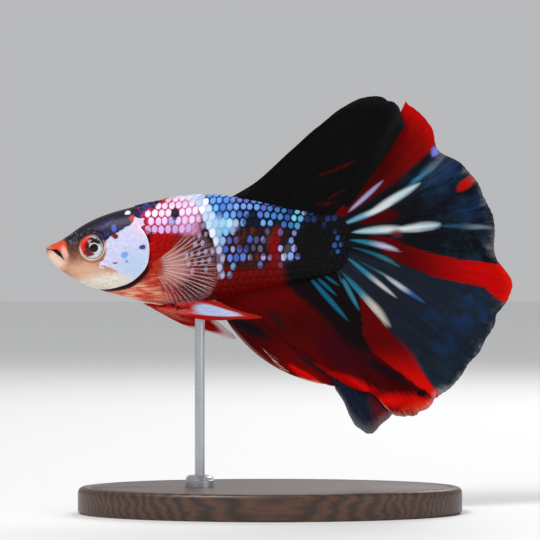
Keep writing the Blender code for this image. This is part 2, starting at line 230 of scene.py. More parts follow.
def lofted(name, rings, ends):
    """A closed piece from rings of points, as many on each, and the two points that close its ends."""
    count, sides = rings.shape[:2]
    number = np.arange(count * sides).reshape(count, sides)
    far = np.roll(number, -1, 1)
    quads = np.stack((number[:-1], far[:-1], far[1:], number[1:]), -1).reshape(-1, 4).tolist()
    fans = [(count * sides, int(b), int(a)) for a, b in zip(number[0], far[0])]
    fans += [(count * sides + 1, int(a), int(b)) for a, b in zip(number[-1], far[-1])]
    return mesh_piece(name, np.concatenate((rings.reshape(-1, 3), ends)), quads + fans)


def keep_values(piece, name, values):
    """Stores a number, or a place in millimetres, for each point, for the materials to read."""
    kind, field = ("FLOAT", "value") if values.ndim == 1 else ("FLOAT_VECTOR", "vector")
    stored = piece.data.attributes.new(name, kind, "POINT")
    stored.data.foreach_set(field, np.ascontiguousarray(values, np.float32).ravel())


def keep_map(piece, name, places):
    """Stores a UV map from one place for each point."""
    corners = np.zeros(len(piece.data.loops), int)
    piece.data.loops.foreach_get("vertex_index", corners)
    piece.data.uv_layers.new(name=name).data.foreach_set("uv", places[corners].astype(np.float32).ravel())


def skin_map(x, round_share):
    """A place on the skin's unwrap: along the body, and round it from the belly by the left side."""
    along = (x - SNOUT) / (SKIN_END - SNOUT)
    return np.stack((MAP_MARGIN + MAP_ROOM * along, MAP_MARGIN + MAP_ROOM * round_share), -1)


def make_skin():
    """The skin as one closed loft, with its unwrap and the distances from gill cover and mouth."""
    ring_x = np.concatenate(
        (
            SNOUT + TIP_LENGTH * np.linspace(0, 1, TIP_RINGS)[:-1] ** 2,
            np.linspace(SNOUT + TIP_LENGTH, NAPE, HEAD_RINGS)[:-1],
            np.linspace(NAPE, SKIN_END, REAR_RINGS),
        )
    )
    half, height, _, _ = half_rings(ring_x, RING_SIDES // 2 + 1)
    y = np.concatenate((-half[:, :-1], half[:, :0:-1]), 1)
    z = np.concatenate((height[:, :-1], height[:, :0:-1]), 1)
    x = np.repeat(ring_x[:, None], RING_SIDES, 1)
    points = np.stack((x, y + bend(x), z), -1)
    along, around = np.gradient(points, axis=0), np.roll(points, -1, 1) - np.roll(points, 1, 1)
    outward = unit(np.cross(along, around))
    stand_out = np.where(x < RELIEF_END, relief(x, z), 0.0)
    points = points + outward * (stand_out - SCALE_DEPTH * ease(x, SNOUT, SNOUT + 1))[..., None]
    skin = lofted("skin", points, [points[0].mean(0), points[-1].mean(0)])

    behind, _ = from_line(COVER_EDGE, x, z)
    mouth, mouth_along = from_line(MOUTH_LINE, x, z)
    gape = np.where(mouth_along > 0.97, FAR_OFF, np.abs(mouth) - mouth_opening(mouth_along))
    ends = (FAR_OFF, FAR_OFF)
    keep_values(skin, "behind_cover", np.append(behind.ravel(), ends))
    keep_values(skin, "from_gape", np.append(gape.ravel(), ends))

    sides = RING_SIDES
    share = np.repeat(np.arange(sides + 1)[None] / sides, len(x), 0)
    wide = skin_map(np.repeat(x[:, :1], sides + 1, 1), share)
    corners = np.stack((wide[:-1, :-1], wide[:-1, 1:], wide[1:, 1:], wide[1:, :-1]), -2).reshape(-1, 2)
    fans = np.concatenate([np.repeat(wide[i, :1], 3 * sides, 0) for i in (0, -1)])
    unwrap = skin.data.uv_layers.new(name="OFBake")
    unwrap.data.foreach_set("uv", np.concatenate((corners, fans)).astype(np.float32).ravel())
    return skin


def rgb(red, green, blue):
    """A colour from screen values of 0 to 255."""
    linear = [c / 255 / 12.92 if c < 11 else ((c / 255 + 0.055) / 1.055) ** 2.4 for c in (red, green, blue)]
    return (*linear, 1.0)


class Wire:
    """What leaves a shader node. Sums, products and the like make the nodes that work them out."""

    def __init__(self, socket):
        self.socket = socket
        self.tree = socket.id_data

    def __add__(self, other):
        return reckon("ADD", self, other)

    def __sub__(self, other):
        return reckon("SUBTRACT", self, other)

    def __rsub__(self, other):
        return reckon("SUBTRACT", other, self)

    def __mul__(self, other):
        return reckon("MULTIPLY", self, other)

    def __truediv__(self, other):
        return reckon("DIVIDE", self, other)

    __radd__, __rmul__ = __add__, __mul__


def node_of(kind, feeds, tree=None, **settings):
    """A new node in its wires' tree, with its settings; each input gets a wire or a value."""
    tree = tree or next(value.tree for value in feeds.values() if isinstance(value, Wire))
    node = tree.nodes.new("ShaderNode" + kind)
    for key, value in settings.items():
        setattr(node, key, value)
    for key, value in feeds.items():
        if isinstance(value, Wire):
            tree.links.new(value.socket, node.inputs[key])
        else:
            node.inputs[key].default_value = value
    return node


def put(kind, feeds=None, out=0, tree=None, **settings):
    """One output of a new node."""
    return Wire(node_of(kind, feeds or {}, tree, **settings).outputs[out])


def feed(node, **wires):
    """Leads wires to a node's inputs, by name with underscores for spaces."""
    for name, wire in wires.items():
        wire.tree.links.new(wire.socket, node.inputs[name.replace("_", " ")])


def calc(operation, *values):
    return put("Math", dict(enumerate(values)), operation=operation)


def on_vectors(operation, *values, out="Vector"):
    return put("VectorMath", dict(enumerate(values)), out, operation=operation)


def is_number(value):
    return value.socket.type == "VALUE" if isinstance(value, Wire) else not isinstance(value, tuple)


def reckon(operation, a, b):
    """Works out two numbers or two vectors; a vector times a number is scaled by it."""
    numbers = is_number(a), is_number(b)
    if all(numbers):
        return calc(operation, a, b)
    if any(numbers):
        return put("VectorMath", {0: a, "Scale": b}, operation="SCALE")
    return on_vectors(operation, a, b)


def larger(a, b):
    return calc("MAXIMUM", a, b)


def length(vector):
    return on_vectors("LENGTH", vector, out="Value")


def split(wire):
    """The three parts of a place or of a colour."""
    kind = "SeparateXYZ" if wire.socket.type == "VECTOR" else "SeparateColor"
    return [Wire(socket) for socket in node_of(kind, {0: wire}).outputs]


def join(x, z):
    """A place from two numbers, as in a side view."""
    return put("CombineXYZ", {"X": x, "Z": z})


def step_of(value, start, end):
    """A mask that eases from 0 at start to 1 at end."""
    feeds = {"Value": value, "From Min": start, "From Max": end}
    return put("MapRange", feeds, interpolation_type="SMOOTHSTEP")


def both(*masks):
    made = masks[0]
    for mask in masks[1:]:
        made = made * mask
    return made


def but(mask, hole):
    return mask * (1.0 - hole)


def over(below, colour, mask):
    """A colour laid over another one where the mask is 1."""
    return put("Mix", {0: mask, 6: below, 7: colour}, 2, data_type="RGBA")


def paint(below, *coats):
    """Colours laid over each other in order, each with its mask."""
    for colour, mask in coats:
        below = over(below, colour, mask)
    return below


def dab(below, place, *rows):
    """Oval marks laid on in order: colour, x, z, reach in x and z, turn and softness."""
    for colour, *oval in rows:
        below = over(below, colour, blot(place, *oval))
    return below


def noise(place, scale, detail=2.0, roughness=0.5, out="Fac"):
    return put("TexNoise", {"Vector": place, "Scale": scale, "Detail": detail, "Roughness": roughness}, out)


def new_group(name, inputs, outputs):
    """A group from inputs (name, kind, value) and outputs (name, kind); its wires by name, and its end."""
    made = bpy.data.node_groups.new(name, "ShaderNodeTree")
    for label, kind, value in inputs:
        socket = made.interface.new_socket(label, in_out="INPUT", socket_type="NodeSocket" + kind)
        if value is not None:
            socket.default_value = value
    for label, kind in outputs:
        made.interface.new_socket(label, in_out="OUTPUT", socket_type="NodeSocket" + kind)
    given = {socket.name: Wire(socket) for socket in made.nodes.new("NodeGroupInput").outputs}
    return made, given, made.nodes.new("NodeGroupOutput")


def use(group, **feeds):
    """Places a group, fed by name with underscores for spaces, and gives its outputs by name."""
    named = {name.replace("_", " "): value for name, value in feeds.items()}
    return {socket.name: Wire(socket) for socket in node_of("Group", named, node_tree=group).outputs}


# Blot: an oval mark in the side view, with a soft edge
SIDE_VIEW = (1.0, 0.0, 1.0)  # keeps x and z of a place
blot_group, given, out = new_group(
    "Blot",
    (
        ("Place", "Vector", None),
        ("Middle", "Vector", None),
        ("Reach", "Vector", (1.0, 1.0, 1.0)),
        ("Turn", "Float", 0.0),
        ("Softness", "Float", 0.2),
    ),
    (("Mask", "Float"),),
)
from_middle = given["Place"] - given["Middle"]
turned = put("VectorRotate", {"Vector": from_middle, "Angle": given["Turn"]}, rotation_type="Y_AXIS")
reached = length(turned / given["Reach"] * SIDE_VIEW)
feed(out, Mask=step_of(reached, 1.0 + given["Softness"], 1.0 - given["Softness"]))


def blot(place, x, z, reach_x, reach_z, turn=0.0, soft=0.25):
    """An oval mark at x, z, turned by degrees so that its front end rises."""
    middle, reach, angle = (x, 0.0, z), (reach_x, 1.0, reach_z), math.radians(turn)
    return use(blot_group, Place=place, Middle=middle, Reach=reach, Turn=angle, Softness=soft)["Mask"]


def above_line(place, points, soft=0.15):
    """A mask of what lies above a curve through points (x, z) in the side view."""
    at_x, _, at_z = split(place)
    low_x, high_x = points[0][0], points[-1][0]
    low_z, high_z = min(p[1] for p in points) - 0.01, max(p[1] for p in points) + 0.01
    share = put("MapRange", {"Value": at_x, "From Min": low_x, "From Max": high_x})
    line = node_of("FloatCurve", {"Value": share})
    curve = line.mapping.curves[0]
    for i, (x, z) in enumerate(points):
        at = ((x - low_x) / (high_x - low_x), (z - low_z) / (high_z - low_z))
        if i in (0, len(points) - 1):
            curve.points[0 if i == 0 else -1].location = at
        else:
            curve.points.new(*at)
    line.mapping.update()
    height = put("MapRange", {"Value": Wire(line.outputs[0]), "To Min": low_z, "To Max": high_z})
    return step_of(at_z - height, -soft, soft)


# Markings: the marbled coat, for skin and scales alike. Ground is the skin's own colour and Sheen the
# colour of the shining cells. Lit says whether a scale shines, by chance where they are sparse, Reach how
# much of it does, and Veil how far the shine also covers the skin between the scales.
markings, given, out = new_group(
    "Markings",
    (("Place", "Vector", None), ("Chance", "Float", 0.5)),
    (("Ground", "Color"), ("Sheen", "Color"), ("Lit", "Float"), ("Reach", "Float"), ("Veil", "Float")),
)
CHARCOAL, EARTH_BLACK, STALK_BLACK = rgb(30, 26, 36), rgb(34, 18, 20), rgb(13, 11, 13)
SHOULDER_RED, FLANK_RED, DEEP_RED = rgb(166, 4, 2), rgb(124, 1, 1), rgb(84, 1, 2)
COVER_WHITE = rgb(206, 202, 238)
SCALE_PINK, SCALE_WHITE, SCALE_LILAC = rgb(248, 214, 250), rgb(250, 242, 252), rgb(206, 174, 232)
SCALE_BLUE, SCALE_SKY, SCALE_TEAL = rgb(78, 110, 214), rgb(120, 176, 246), rgb(38, 124, 176)


def paint_markings(place, chance):
    """Ground, Sheen, Lit, Reach and Veil at a place, for a scale that has its own chance."""
    broad, fine = (noise(place, scale, out="Color") - (0.5, 0.5, 0.5) for scale in (0.55, 2.6))
    at = place + (broad * 1.1 + fine * 0.5)
    mottle = noise(place, 1.3, 3.0)
    dice = split(put("TexWhiteNoise", {"W": chance}, out="Color", noise_dimensions="1D"))  # three numbers
    at_x, _, at_z = split(at)

    # the skin: red at shoulder and flank, brown and black behind them, orange and cream at the breast
    ground = over(SHOULDER_RED, rgb(132, 3, 2), step_of(mottle, 0.35, 0.62))
    ground = over(ground, over(FLANK_RED, DEEP_RED, mottle), step_of(at_x, -12.5, -8.0))
    ground = dab(
        ground, at,
        (SHOULDER_RED, -15.6, 40.2, 3.0, 2.6, 0, 0.35),
        (rgb(104, 34, 22), -11.2, 40.4, 3.0, 3.0, 0, 0.5),
        (rgb(44, 16, 20), -9.6, 39.4, 1.7, 3.4, 0, 0.5),
    )
    dark_flank = above_line(
        at,
        (
            (-11.5, 47.0), (-10.4, 43.4), (-9.0, 39.4), (-7.0, 37.4), (-3.0, 36.9), (0.3, 37.2),
            (1.6, 36.4), (3.4, 34.4), (7.0, 30.0),
        ),
        0.5,
    )
    ground = over(ground, EARTH_BLACK, dark_flank)
    earth = put("Mapping", {"Vector": place, "Rotation": (0.0, 0.2, 0.0), "Scale": (1.6, 1.0, 0.4)})
    earth = both(step_of(noise(earth, 1.0, 3.0), 0.48, 0.62), blot(at, -3.2, 40.4, 4.6, 3.2, soft=0.5))
    stalk = step_of(at_x + at_z * -0.12, -2.6, -1.2)
    ground = paint(ground, (rgb(84, 40, 28), earth), (STALK_BLACK, stalk))
    ground = dab(
        ground, at,
        (rgb(126, 3, 4), 0.6, 39.8, 0.65, 3.4, -6, 0.5),
        (rgb(112, 4, 4), 0.9, 37.2, 1.1, 1.6, 0, 0.5),
    )
    breast = blot(at, -19.6, 32.8, 4.8, 2.0, -14, soft=0.35)
    streaks = put("Mapping", {"Vector": place, "Rotation": (0.0, 0.5, 0.0), "Scale": (0.3, 1.0, 2.2)})
    streaks = noise(streaks, 1.3, 3.0)
    ground = over(ground, over(rgb(212, 66, 38), rgb(244, 184, 154), step_of(streaks, 0.34, 0.72)), breast)
    orange = blot(at, -17.3, 35.2, 1.2, 1.5, soft=0.8)
    ground = paint(
        ground,
        (rgb(200, 58, 30), orange * 0.7),
        (rgb(232, 170, 140), both(orange, step_of(streaks, 0.45, 0.65)) * 0.6),
        (rgb(56, 12, 18), blot(at, -11.4, 34.1, 2.3, 1.7, soft=0.7)),
    )
    nape = above_line(at, ((-19.0, 42.8), (-16.5, 42.3), (-12.0, 42.1), (-9.8, 42.0), (-8.6, 46.0)), 0.3)
    nape = but(nape, step_of(at_x, -11.5, -9.8))
    nape_ground = over(rgb(206, 34, 66), rgb(228, 150, 196), step_of(at_x, -15.5, -11.5))
    ground = over(ground, nape_ground, nape)

    # the scales: pink to white on the nape
    sheen = paint(
        SCALE_LILAC,
        (SCALE_PINK, step_of(at_z, 43.4, 44.8)),
        (SCALE_WHITE, step_of(at_z, 46.2, 48.2)),
        (rgb(226, 168, 214), dice[1] * 0.25),
        (rgb(150, 164, 222), blot(place, -14.7, 43.7, 0.6, 0.5, soft=0.3)),
    )
    lit, reach = nape, 0.95

    # the pale band across the flank, and its short arm rearward
    pale_band = but(
        above_line(
            at,
            (
                (-16.5, 48.4), (-13.2, 47.6), (-11.0, 46.4), (-9.9, 43.9), (-8.9, 41.8), (-8.2, 39.5),
                (-7.9, 35.6),
            ),
            0.35,
        ),
        above_line(
            at, ((-10.4, 49.5), (-9.2, 46.4), (-8.2, 45.2), (-7.3, 43.0), (-7.0, 40.0), (-6.9, 35.0)), 0.35
        ),
    )
    arm = blot(at, -7.2, 43.5, 2.2, 1.1, -8, soft=0.45)
    pale_band = larger(pale_band, arm)

    # blue along the back, behind the pale band
    upper = above_line(
        at,
        ((-10.2, 46.2), (-8.6, 44.6), (-6.0, 42.4), (-4.0, 42.8), (0.0, 43.4), (3.0, 43.0), (5.4, 42.0)),
        0.25,
    )
    blue = but(but(upper, step_of(at_x, 4.9, 5.4)), step_of(at_x, -9.4, -10.0))
    rear_tint = over(rgb(42, 66, 158), SCALE_TEAL, step_of(dice[0], 0.35, 0.65))
    glint = larger(blot(at, 3.9, 44.9, 0.8, 1.5, soft=0.35), blot(at, -1.3, 44.6, 0.55, 0.6, soft=0.3))
    blue_tint = paint(
        SCALE_BLUE,
        (SCALE_SKY, step_of(dice[1], 0.1, 0.7)),
        (rgb(122, 112, 214), both(step_of(dice[2], 0.68, 0.76), step_of(at_x, -6.5, -4.5))),
        (rear_tint, step_of(at_x, -3.0, 2.5) * 0.85),
        (rgb(104, 200, 222), glint),
        (rgb(96, 176, 244), both(step_of(at_x, -6.0, -8.0), step_of(dice[2], 0.3, 0.5))),
    )
    ground = over(ground, over(rgb(50, 92, 168), rgb(12, 17, 40), step_of(at_x, -9.2, -4.0)), blue)
    sheen = over(sheen, blue_tint, blue)
    sparse_top = blot(at, -3.0, 44.0, 1.2, 1.4, soft=0.4)
    lit = larger(lit, blue * (0.97 - sparse_top * 0.8))
    reach = reach - blue * (0.04 + dice[0] * 0.16)

    # blue and lilac ones on the lower flank, sparse but for some clusters
    is_lower = 1.0 - step_of(at_z, 42.2, 42.9)
    behind_band = both(is_lower, step_of(at_x, -8.4, -7.6))
    lower = paint(
        rgb(86, 118, 204),
        (rgb(176, 164, 220), step_of(dice[1], 0.45, 0.8)),
        (rgb(54, 84, 176), both(step_of(dice[2], 0.6, 0.7), step_of(dice[0], 0.2, 0.9))),
        (rgb(104, 170, 214), both(step_of(dice[2], 0.3, 0.2), step_of(at_x, -4.0, -5.0))),
    )
    sheen = over(sheen, lower, behind_band)
    mauve = larger(blot(at, -9.9, 42.4, 1.8, 2.0, soft=0.4), blot(at, -10.4, 38.2, 2.4, 3.0, soft=0.4))
    sheen = over(sheen, rgb(142, 130, 166), but(mauve, pale_band))
    lit = larger(lit, mauve * 0.85)
    reach = reach - mauve * 0.36
    sparse = both(blot(at, -1.6, 39.8, 6.4, 3.2, soft=0.2), is_lower)
    lit = larger(lit, sparse * 0.34)
    for *oval, amount in (
        (-6.4, 41.4, 1.3, 1.5, 0.95),
        (-6.0, 38.9, 1.6, 2.1, 0.95),
        (-3.9, 38.6, 0.8, 1.3, 0.85),
        (-6.6, 36.3, 0.6, 0.6, 1.00),
        (-2.9, 36.5, 0.8, 0.6, 1.00),
        (-1.3, 38.0, 1.4, 0.6, 1.00),
        (-1.3, 41.8, 0.6, 0.7, 0.60),
        (-3.4, 41.4, 0.6, 0.5, 1.00),
        (1.8, 38.4, 0.5, 0.5, 1.00),
        (3.1, 39.4, 0.7, 1.9, 1.00),
        (3.6, 41.9, 1.0, 0.7, 1.00),
        (1.6, 40.1, 0.5, 0.6, 0.80),
        (4.4, 38.3, 0.9, 0.5, 1.00),
    ):
        lit = larger(lit, blot(at, *oval, soft=0.3) * amount)
    white_column = larger(blot(at, 2.9, 39.6, 0.7, 1.6, soft=0.4), blot(at, 2.6, 38.3, 1.0, 0.5, soft=0.4))
    column_tint = over(rgb(130, 160, 226), rgb(206, 214, 242), step_of(dice[1], 0.3, 0.6))
    low_reach = larger(0.62 + dice[0] * 0.26, white_column)
    reach = put("Mix", {0: behind_band, 2: reach, 3: low_reach}, data_type="FLOAT")

    # the tail stalk's few dim blue ones
    dim = larger(blot(at, 7.6, 44.5, 2.9, 1.0, soft=0.3), blot(at, 10.0, 39.8, 0.8, 1.7, soft=0.3))
    stalk_mark = blot(at, 9.9, 40.4, 0.8, 1.9, soft=0.3)
    sheen = paint(
        sheen,
        (column_tint, white_column),
        (rgb(18, 44, 92), step_of(at_x, 5.0, 5.5)),
        (rgb(34, 84, 158), stalk_mark),
    )
    lit = larger(lit, larger(dim * 0.7, stalk_mark))
    sheen = paint(
        sheen,
        (over(rgb(180, 202, 240), rgb(238, 240, 252), step_of(dice[1], 0.1, 0.7)), pale_band),
        (rgb(168, 218, 246), both(arm, step_of(dice[2], 0.3, 0.5))),
        (rgb(186, 188, 220), both(pale_band, step_of(at_z, 41.5, 39.0))),
        (rgb(112, 184, 232), blot(at, -7.2, 42.2, 0.7, 1.3, soft=0.5)),
    )
    lit = larger(lit, pale_band)
    reach = larger(reach, pale_band * (0.7 + step_of(at_z, 39.5, 42.5) * 0.3))
    veil = pale_band * (0.4 + step_of(at_z, 39.0, 43.0) * 0.55)
    veil = larger(veil, white_column * 0.08)
    back_band = but(step_of(at_x, -15.5, -13.0), step_of(at_x, -10.5, -9.5))
    veil = larger(veil, both(step_of(at_z, 46.8, 47.8), back_band) * 0.7)

    # single dark scales, and the dark nape next to the crown
    dark = larger(
        blot(place, -14.3, 45.0, 0.55, 0.9, soft=0.3),
        blot(place, -2.8, 44.4, 0.5, 1.1, soft=0.3),
    )
    lit = but(lit, dark)
    ground = over(ground, CHARCOAL, blot(place, -14.3, 45.0, 0.8, 1.0, soft=0.3))
    cell = split(put("TexVoronoi", {"Vector": place, "Scale": 1.5, "Randomness": 1.0}, out="Color"))[0]
    dark_nape = above_line(at, ((-19.6, 44.6), (-18.2, 45.8), (-16.9, 46.4), (-16.2, 48.5)), 0.2)
    dark_nape = but(dark_nape, step_of(at_x, -16.6, -15.6))
    mixed = over(rgb(32, 20, 46), rgb(58, 60, 124), step_of(cell, 0.66, 0.74))
    ground = over(ground, mixed, dark_nape)
    lit = but(lit, dark_nape)
    lit = step_of(lit - chance * 0.96, 0.0, 0.04)
    return ground, sheen, lit, reach, veil


ground, sheen, lit, reach, veil = paint_markings(given["Place"], given["Chance"])
feed(out, Ground=ground, Sheen=sheen, Lit=lit, Reach=reach, Veil=veil)


# Face: the smooth-skinned head, with its dark crown, flesh-coloured cheeks, red lips and pearly gill covers
face, given, out = new_group(
    "Face",
    (
        ("Place", "Vector", None),
        ("Behind Cover", "Float", 0.0),
        ("From Gape", "Float", 0.0),
        ("Body", "Color", None),
    ),
    (("Colour", "Color"), ("Pearl", "Float")),
)


def paint_face(place, behind, gape, body):
    """The head's Colour and Pearl, from the distances to gill cover and mouth and the body's colour."""
    at = place + (noise(place, 1.6, 3.0, out="Color") - (0.5, 0.5, 0.5)) * 0.7
    at_x, _, at_z = split(at)
    mottle = noise(place, 2.2, 3.0)

    # flesh-coloured cheeks with a pale throat and chin
    chin = over(rgb(234, 226, 216), rgb(222, 210, 186), step_of(mottle, 0.4, 0.66))
    cheek = paint(
        rgb(190, 132, 106),
        (rgb(170, 108, 82), step_of(mottle, 0.4, 0.65)),
        (rgb(216, 172, 144), blot(at, -27.0, 36.2, 3.6, 1.4, -8, soft=0.6)),
        (chin, step_of(at_z + (at_x + 27.0) * -0.16, 36.3, 35.0)),
        (rgb(244, 208, 186), blot(at, -32.4, 38.0, 1.9, 1.5, 40, soft=0.5)),
        (rgb(82, 48, 38), blot(at, -30.0, 40.2, 1.9, 1.7, -30, soft=0.8) * 0.95),
    )

    # pearly gill covers, flecked
    front = above_line(
        join(at_z, at_x),
        (
            (33.0, -22.6), (35.2, -22.7), (36.5, -22.9), (36.9, -24.4), (37.1, -25.7), (37.5, -25.6),
            (38.4, -24.9), (39.4, -24.6), (40.6, -24.7), (41.5, -24.3), (42.4, -24.0), (47.0, -24.0),
        ),
        0.2,
    )
    crown = above_line(
        at,
        (
            (-34.0, 41.9), (-31.3, 41.3), (-30.6, 40.6), (-29.9, 39.9), (-29.1, 39.6), (-28.7, 40.2),
            (-28.0, 41.3), (-27.0, 41.6), (-25.8, 41.3), (-24.9, 41.1), (-24.0, 41.6), (-22.9, 42.2),
            (-21.8, 43.0), (-20.6, 43.8), (-20.2, 44.8), (-19.8, 45.5), (-19.2, 45.3), (-18.6, 44.3),
            (-17.6, 43.9),
        ),
        0.16,
    )
    flakes = put("TexVoronoi", {"Vector": place, "Scale": 1.1, "Randomness": 0.7}, out="Distance")
    white = paint(
        COVER_WHITE,
        (rgb(226, 218, 240), step_of(mottle, 0.42, 0.6)),
        (rgb(190, 206, 236), step_of(flakes, 0.3, 0.62) * 0.5),
        (rgb(168, 178, 214), step_of(noise(place, 4.2, 3.0), 0.54, 0.7) * 0.5),
        (rgb(180, 204, 232), blot(at, -20.4, 37.2, 2.4, 2.4, soft=0.8) * 0.8),
        (rgb(228, 200, 226), blot(at, -19.0, 43.6, 2.0, 1.6, soft=0.6)),
        (rgb(224, 214, 206), blot(at, -22.4, 35.2, 1.6, 0.9, soft=0.6)),
    )
    colour = dab(
        over(cheek, white, front), at,
        (rgb(58, 62, 128), -19.1, 40.1, 0.52, 0.36, 20, 0.3),
        (rgb(118, 168, 228), -21.8, 38.9, 0.50, 0.50, 0, 0.3),
        (rgb(120, 160, 214), -21.5, 38.0, 0.20, 0.20, 0, 0.3),
        (rgb(168, 96, 82), -23.1, 37.76, 0.36, 0.20, -15, 0.3),
        (rgb(196, 138, 122), -24.5, 37.05, 0.90, 0.14, -12, 0.3),
    )

    # a brown to black crown, blue towards the nape, with a few red and white spots
    cell = split(put("TexVoronoi", {"Vector": place, "Scale": 3.4, "Randomness": 1.0}, out="Color"))
    blue_area = blot(at, -23.6, 43.2, 3.4, 1.6, 22, soft=0.6)
    navy = paint(
        rgb(24, 24, 54),
        (rgb(40, 50, 118), step_of(cell[0], 0.6, 0.85)),
        (rgb(66, 20, 44), step_of(cell[1], 0.86, 0.92)),
    )
    dark = paint(
        rgb(84, 50, 42),
        (CHARCOAL, step_of(at_z, 40.3, 41.5)),
        (rgb(96, 84, 96), both(step_of(cell[2], 0.8, 0.9), step_of(at_z, 43.6, 42.0))),
        (navy, both(blue_area, step_of(noise(place, 0.9, 3.0), 0.38, 0.52))),
        (rgb(78, 100, 200), blot(at, -23.5, 42.9, 0.36, 0.5, soft=0.4)),
        (rgb(86, 96, 178), blot(at, -18.3, 45.1, 0.5, 0.6, soft=0.5)),
    )
    colour = dab(
        over(colour, dark, crown), at,
        (rgb(250, 248, 255), -21.45, 45.3, 0.42, 0.26, 15, 0.3),
        (rgb(120, 14, 24), -23.25, 41.7, 0.46, 0.40, 40, 0.3),
        (rgb(196, 22, 22), -20.7, 44.45, 0.42, 0.50, 0, 0.3),
        (rgb(200, 20, 24), -19.5, 45.85, 0.42, 0.30, -30, 0.3),
        (rgb(216, 200, 232), -19.3, 44.5, 0.80, 0.75, 20, 0.3),
    )

    # lips, nostril and the ring round the eye, with painted shade: the nostril's opening dark, a near-black
    # band where the socket meets the eyeball, and the mouth's slit painted near black for the shade inside
    # the open mouth
    lip = larger(
        blot(place, -32.4, 40.4, 1.3, 0.6, -28, soft=0.35),
        blot(place, -31.1, 40.3, 0.5, 0.9, 20, soft=0.5),
    )
    colour = paint(
        colour,
        (rgb(232, 74, 36), lip),
        (rgb(238, 172, 154), blot(place, -30.85, 39.3, 0.42, 0.95, 22, soft=0.5)),
        # painted shade: the front nostril's opening darkened as the shade inside it
        (rgb(40, 16, 16), blot(place, NOSTRILS[0][0], NOSTRILS[0][1], 0.14, 0.11, soft=0.4)),
    )
    to_eye = length((place - (EYE_X, 0.0, EYE_Z)) * SIDE_VIEW)
    ring = dab(
        rgb(236, 220, 208), place,
        (rgb(226, 84, 48), EYE_X - 1.2, EYE_Z + 1.5, 1.7, 1.0, 35, 0.6),
        (rgb(98, 58, 88), EYE_X + 1.5, EYE_Z + 1.3, 1.0, 1.1, -40, 0.6),
    )
    colour = paint(
        colour,
        (ring, step_of(to_eye, EYE_RADIUS + 0.22, EYE_RADIUS + 0.1)),
        # painted shade: a near-black band in the crevice where the socket meets the eyeball
        (rgb(26, 12, 12), step_of(to_eye, EYE_RADIUS + 0.03, EYE_RADIUS - 0.05)),
        # painted shade: the mouth's slit near black, standing in for the shade inside the open mouth
        (rgb(24, 8, 8), step_of(gape, 0.05, -0.03)),
    )

    # the gill cover's white rim, the skin behind it and the shade in the gap
    rim = both(step_of(behind, -0.2, -0.06), step_of(behind, 0.08, 0.02), step_of(at_x, -26.0, -23.0))
    throat = over(rgb(224, 196, 176), body, step_of(at_x, -26.5, -22.5))
    gap_width = put(
        "MapRange", {"Value": at_x, "From Min": -30.0, "From Max": -21.0, "To Min": 0.16, "To Max": 0.75}
    )
    in_gap = step_of(gap_width - behind, -0.12, 0.12)
    colour = paint(
        colour,
        (rgb(250, 250, 255), rim),
        (throat, both(step_of(behind, 0.0, 0.06), step_of(at_z, 43.4, 42.6))),
        (rgb(52, 8, 10), both(step_of(behind, 0.0, 0.05), in_gap, step_of(at_z, 43.0, 41.0))),
    )
    pearl = but(but(front, crown), step_of(behind, 0.0, 0.1))
    return colour, pearl


colour, pearl = paint_face(given["Place"], given["Behind Cover"], given["From Gape"], given["Body"])
feed(out, Colour=colour, Pearl=pearl)


def new_material(name, **values):
    """A material with its Principled shader's own constants, by socket name with underscores for spaces."""
    made = bpy.data.materials.new(name)
    made.use_nodes = True
    shader = made.node_tree.nodes["Principled BSDF"]
    for key, value in values.items():
        shader.inputs[key.replace("_", " ")].default_value = value
    return made, made.node_tree, shader


def bump(shader, height, distance, strength=1.0):
    """Feeds the shader's normal from a height in millimetres."""
    feed(shader, Normal=put("Bump", {"Height": height, "Distance": distance * MM, "Strength": strength}))


def object_place(tree):
    """The place on the object in millimetres."""
    return put("TexCoord", out="Object", tree=tree) * (1 / MM)


def attribute(tree, name, kind="Fac"):
    return put("Attribute", out=kind, tree=tree, attribute_name=name)


skin = make_skin()
skin_finish, tree, shader = new_material(
    "moist_skin",
    Roughness=0.38,
    Coat_Roughness=0.15,
    Specular_IOR_Level=0.14,
    Subsurface_Weight=0.06,
    Subsurface_Radius=(0.0012, 0.0004, 0.0003),
)
place = object_place(tree)
coat = use(markings, Place=place, Chance=0.5)
head_colour = use(
    face,
    Place=place,
    Behind_Cover=attribute(tree, "behind_cover"),
    From_Gape=attribute(tree, "from_gape"),
    Body=coat["Ground"],
)
is_head = step_of(split(place)[0], -17.6, -18.4)
body_colour = over(coat["Ground"], coat["Sheen"], coat["Veil"])
feed(
    shader,
    Coat_Weight=0.06 + head_colour["Pearl"] * 0.2,
    Base_Color=over(body_colour, head_colour["Colour"], is_head),
)
pores = put("TexVoronoi", {"Vector": place, "Scale": 3.2}, out="Distance")
grain = noise(place, 9.0, 3.0)
bump(shader, pores * 0.5 + grain * 0.35, 0.06, 0.8)
skin.data.materials.append(skin_finish)
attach(skin, "root")
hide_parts("head", "lower_jaw", "gill_cover_left", "gill_cover_right", "trunk", "tail_stalk")


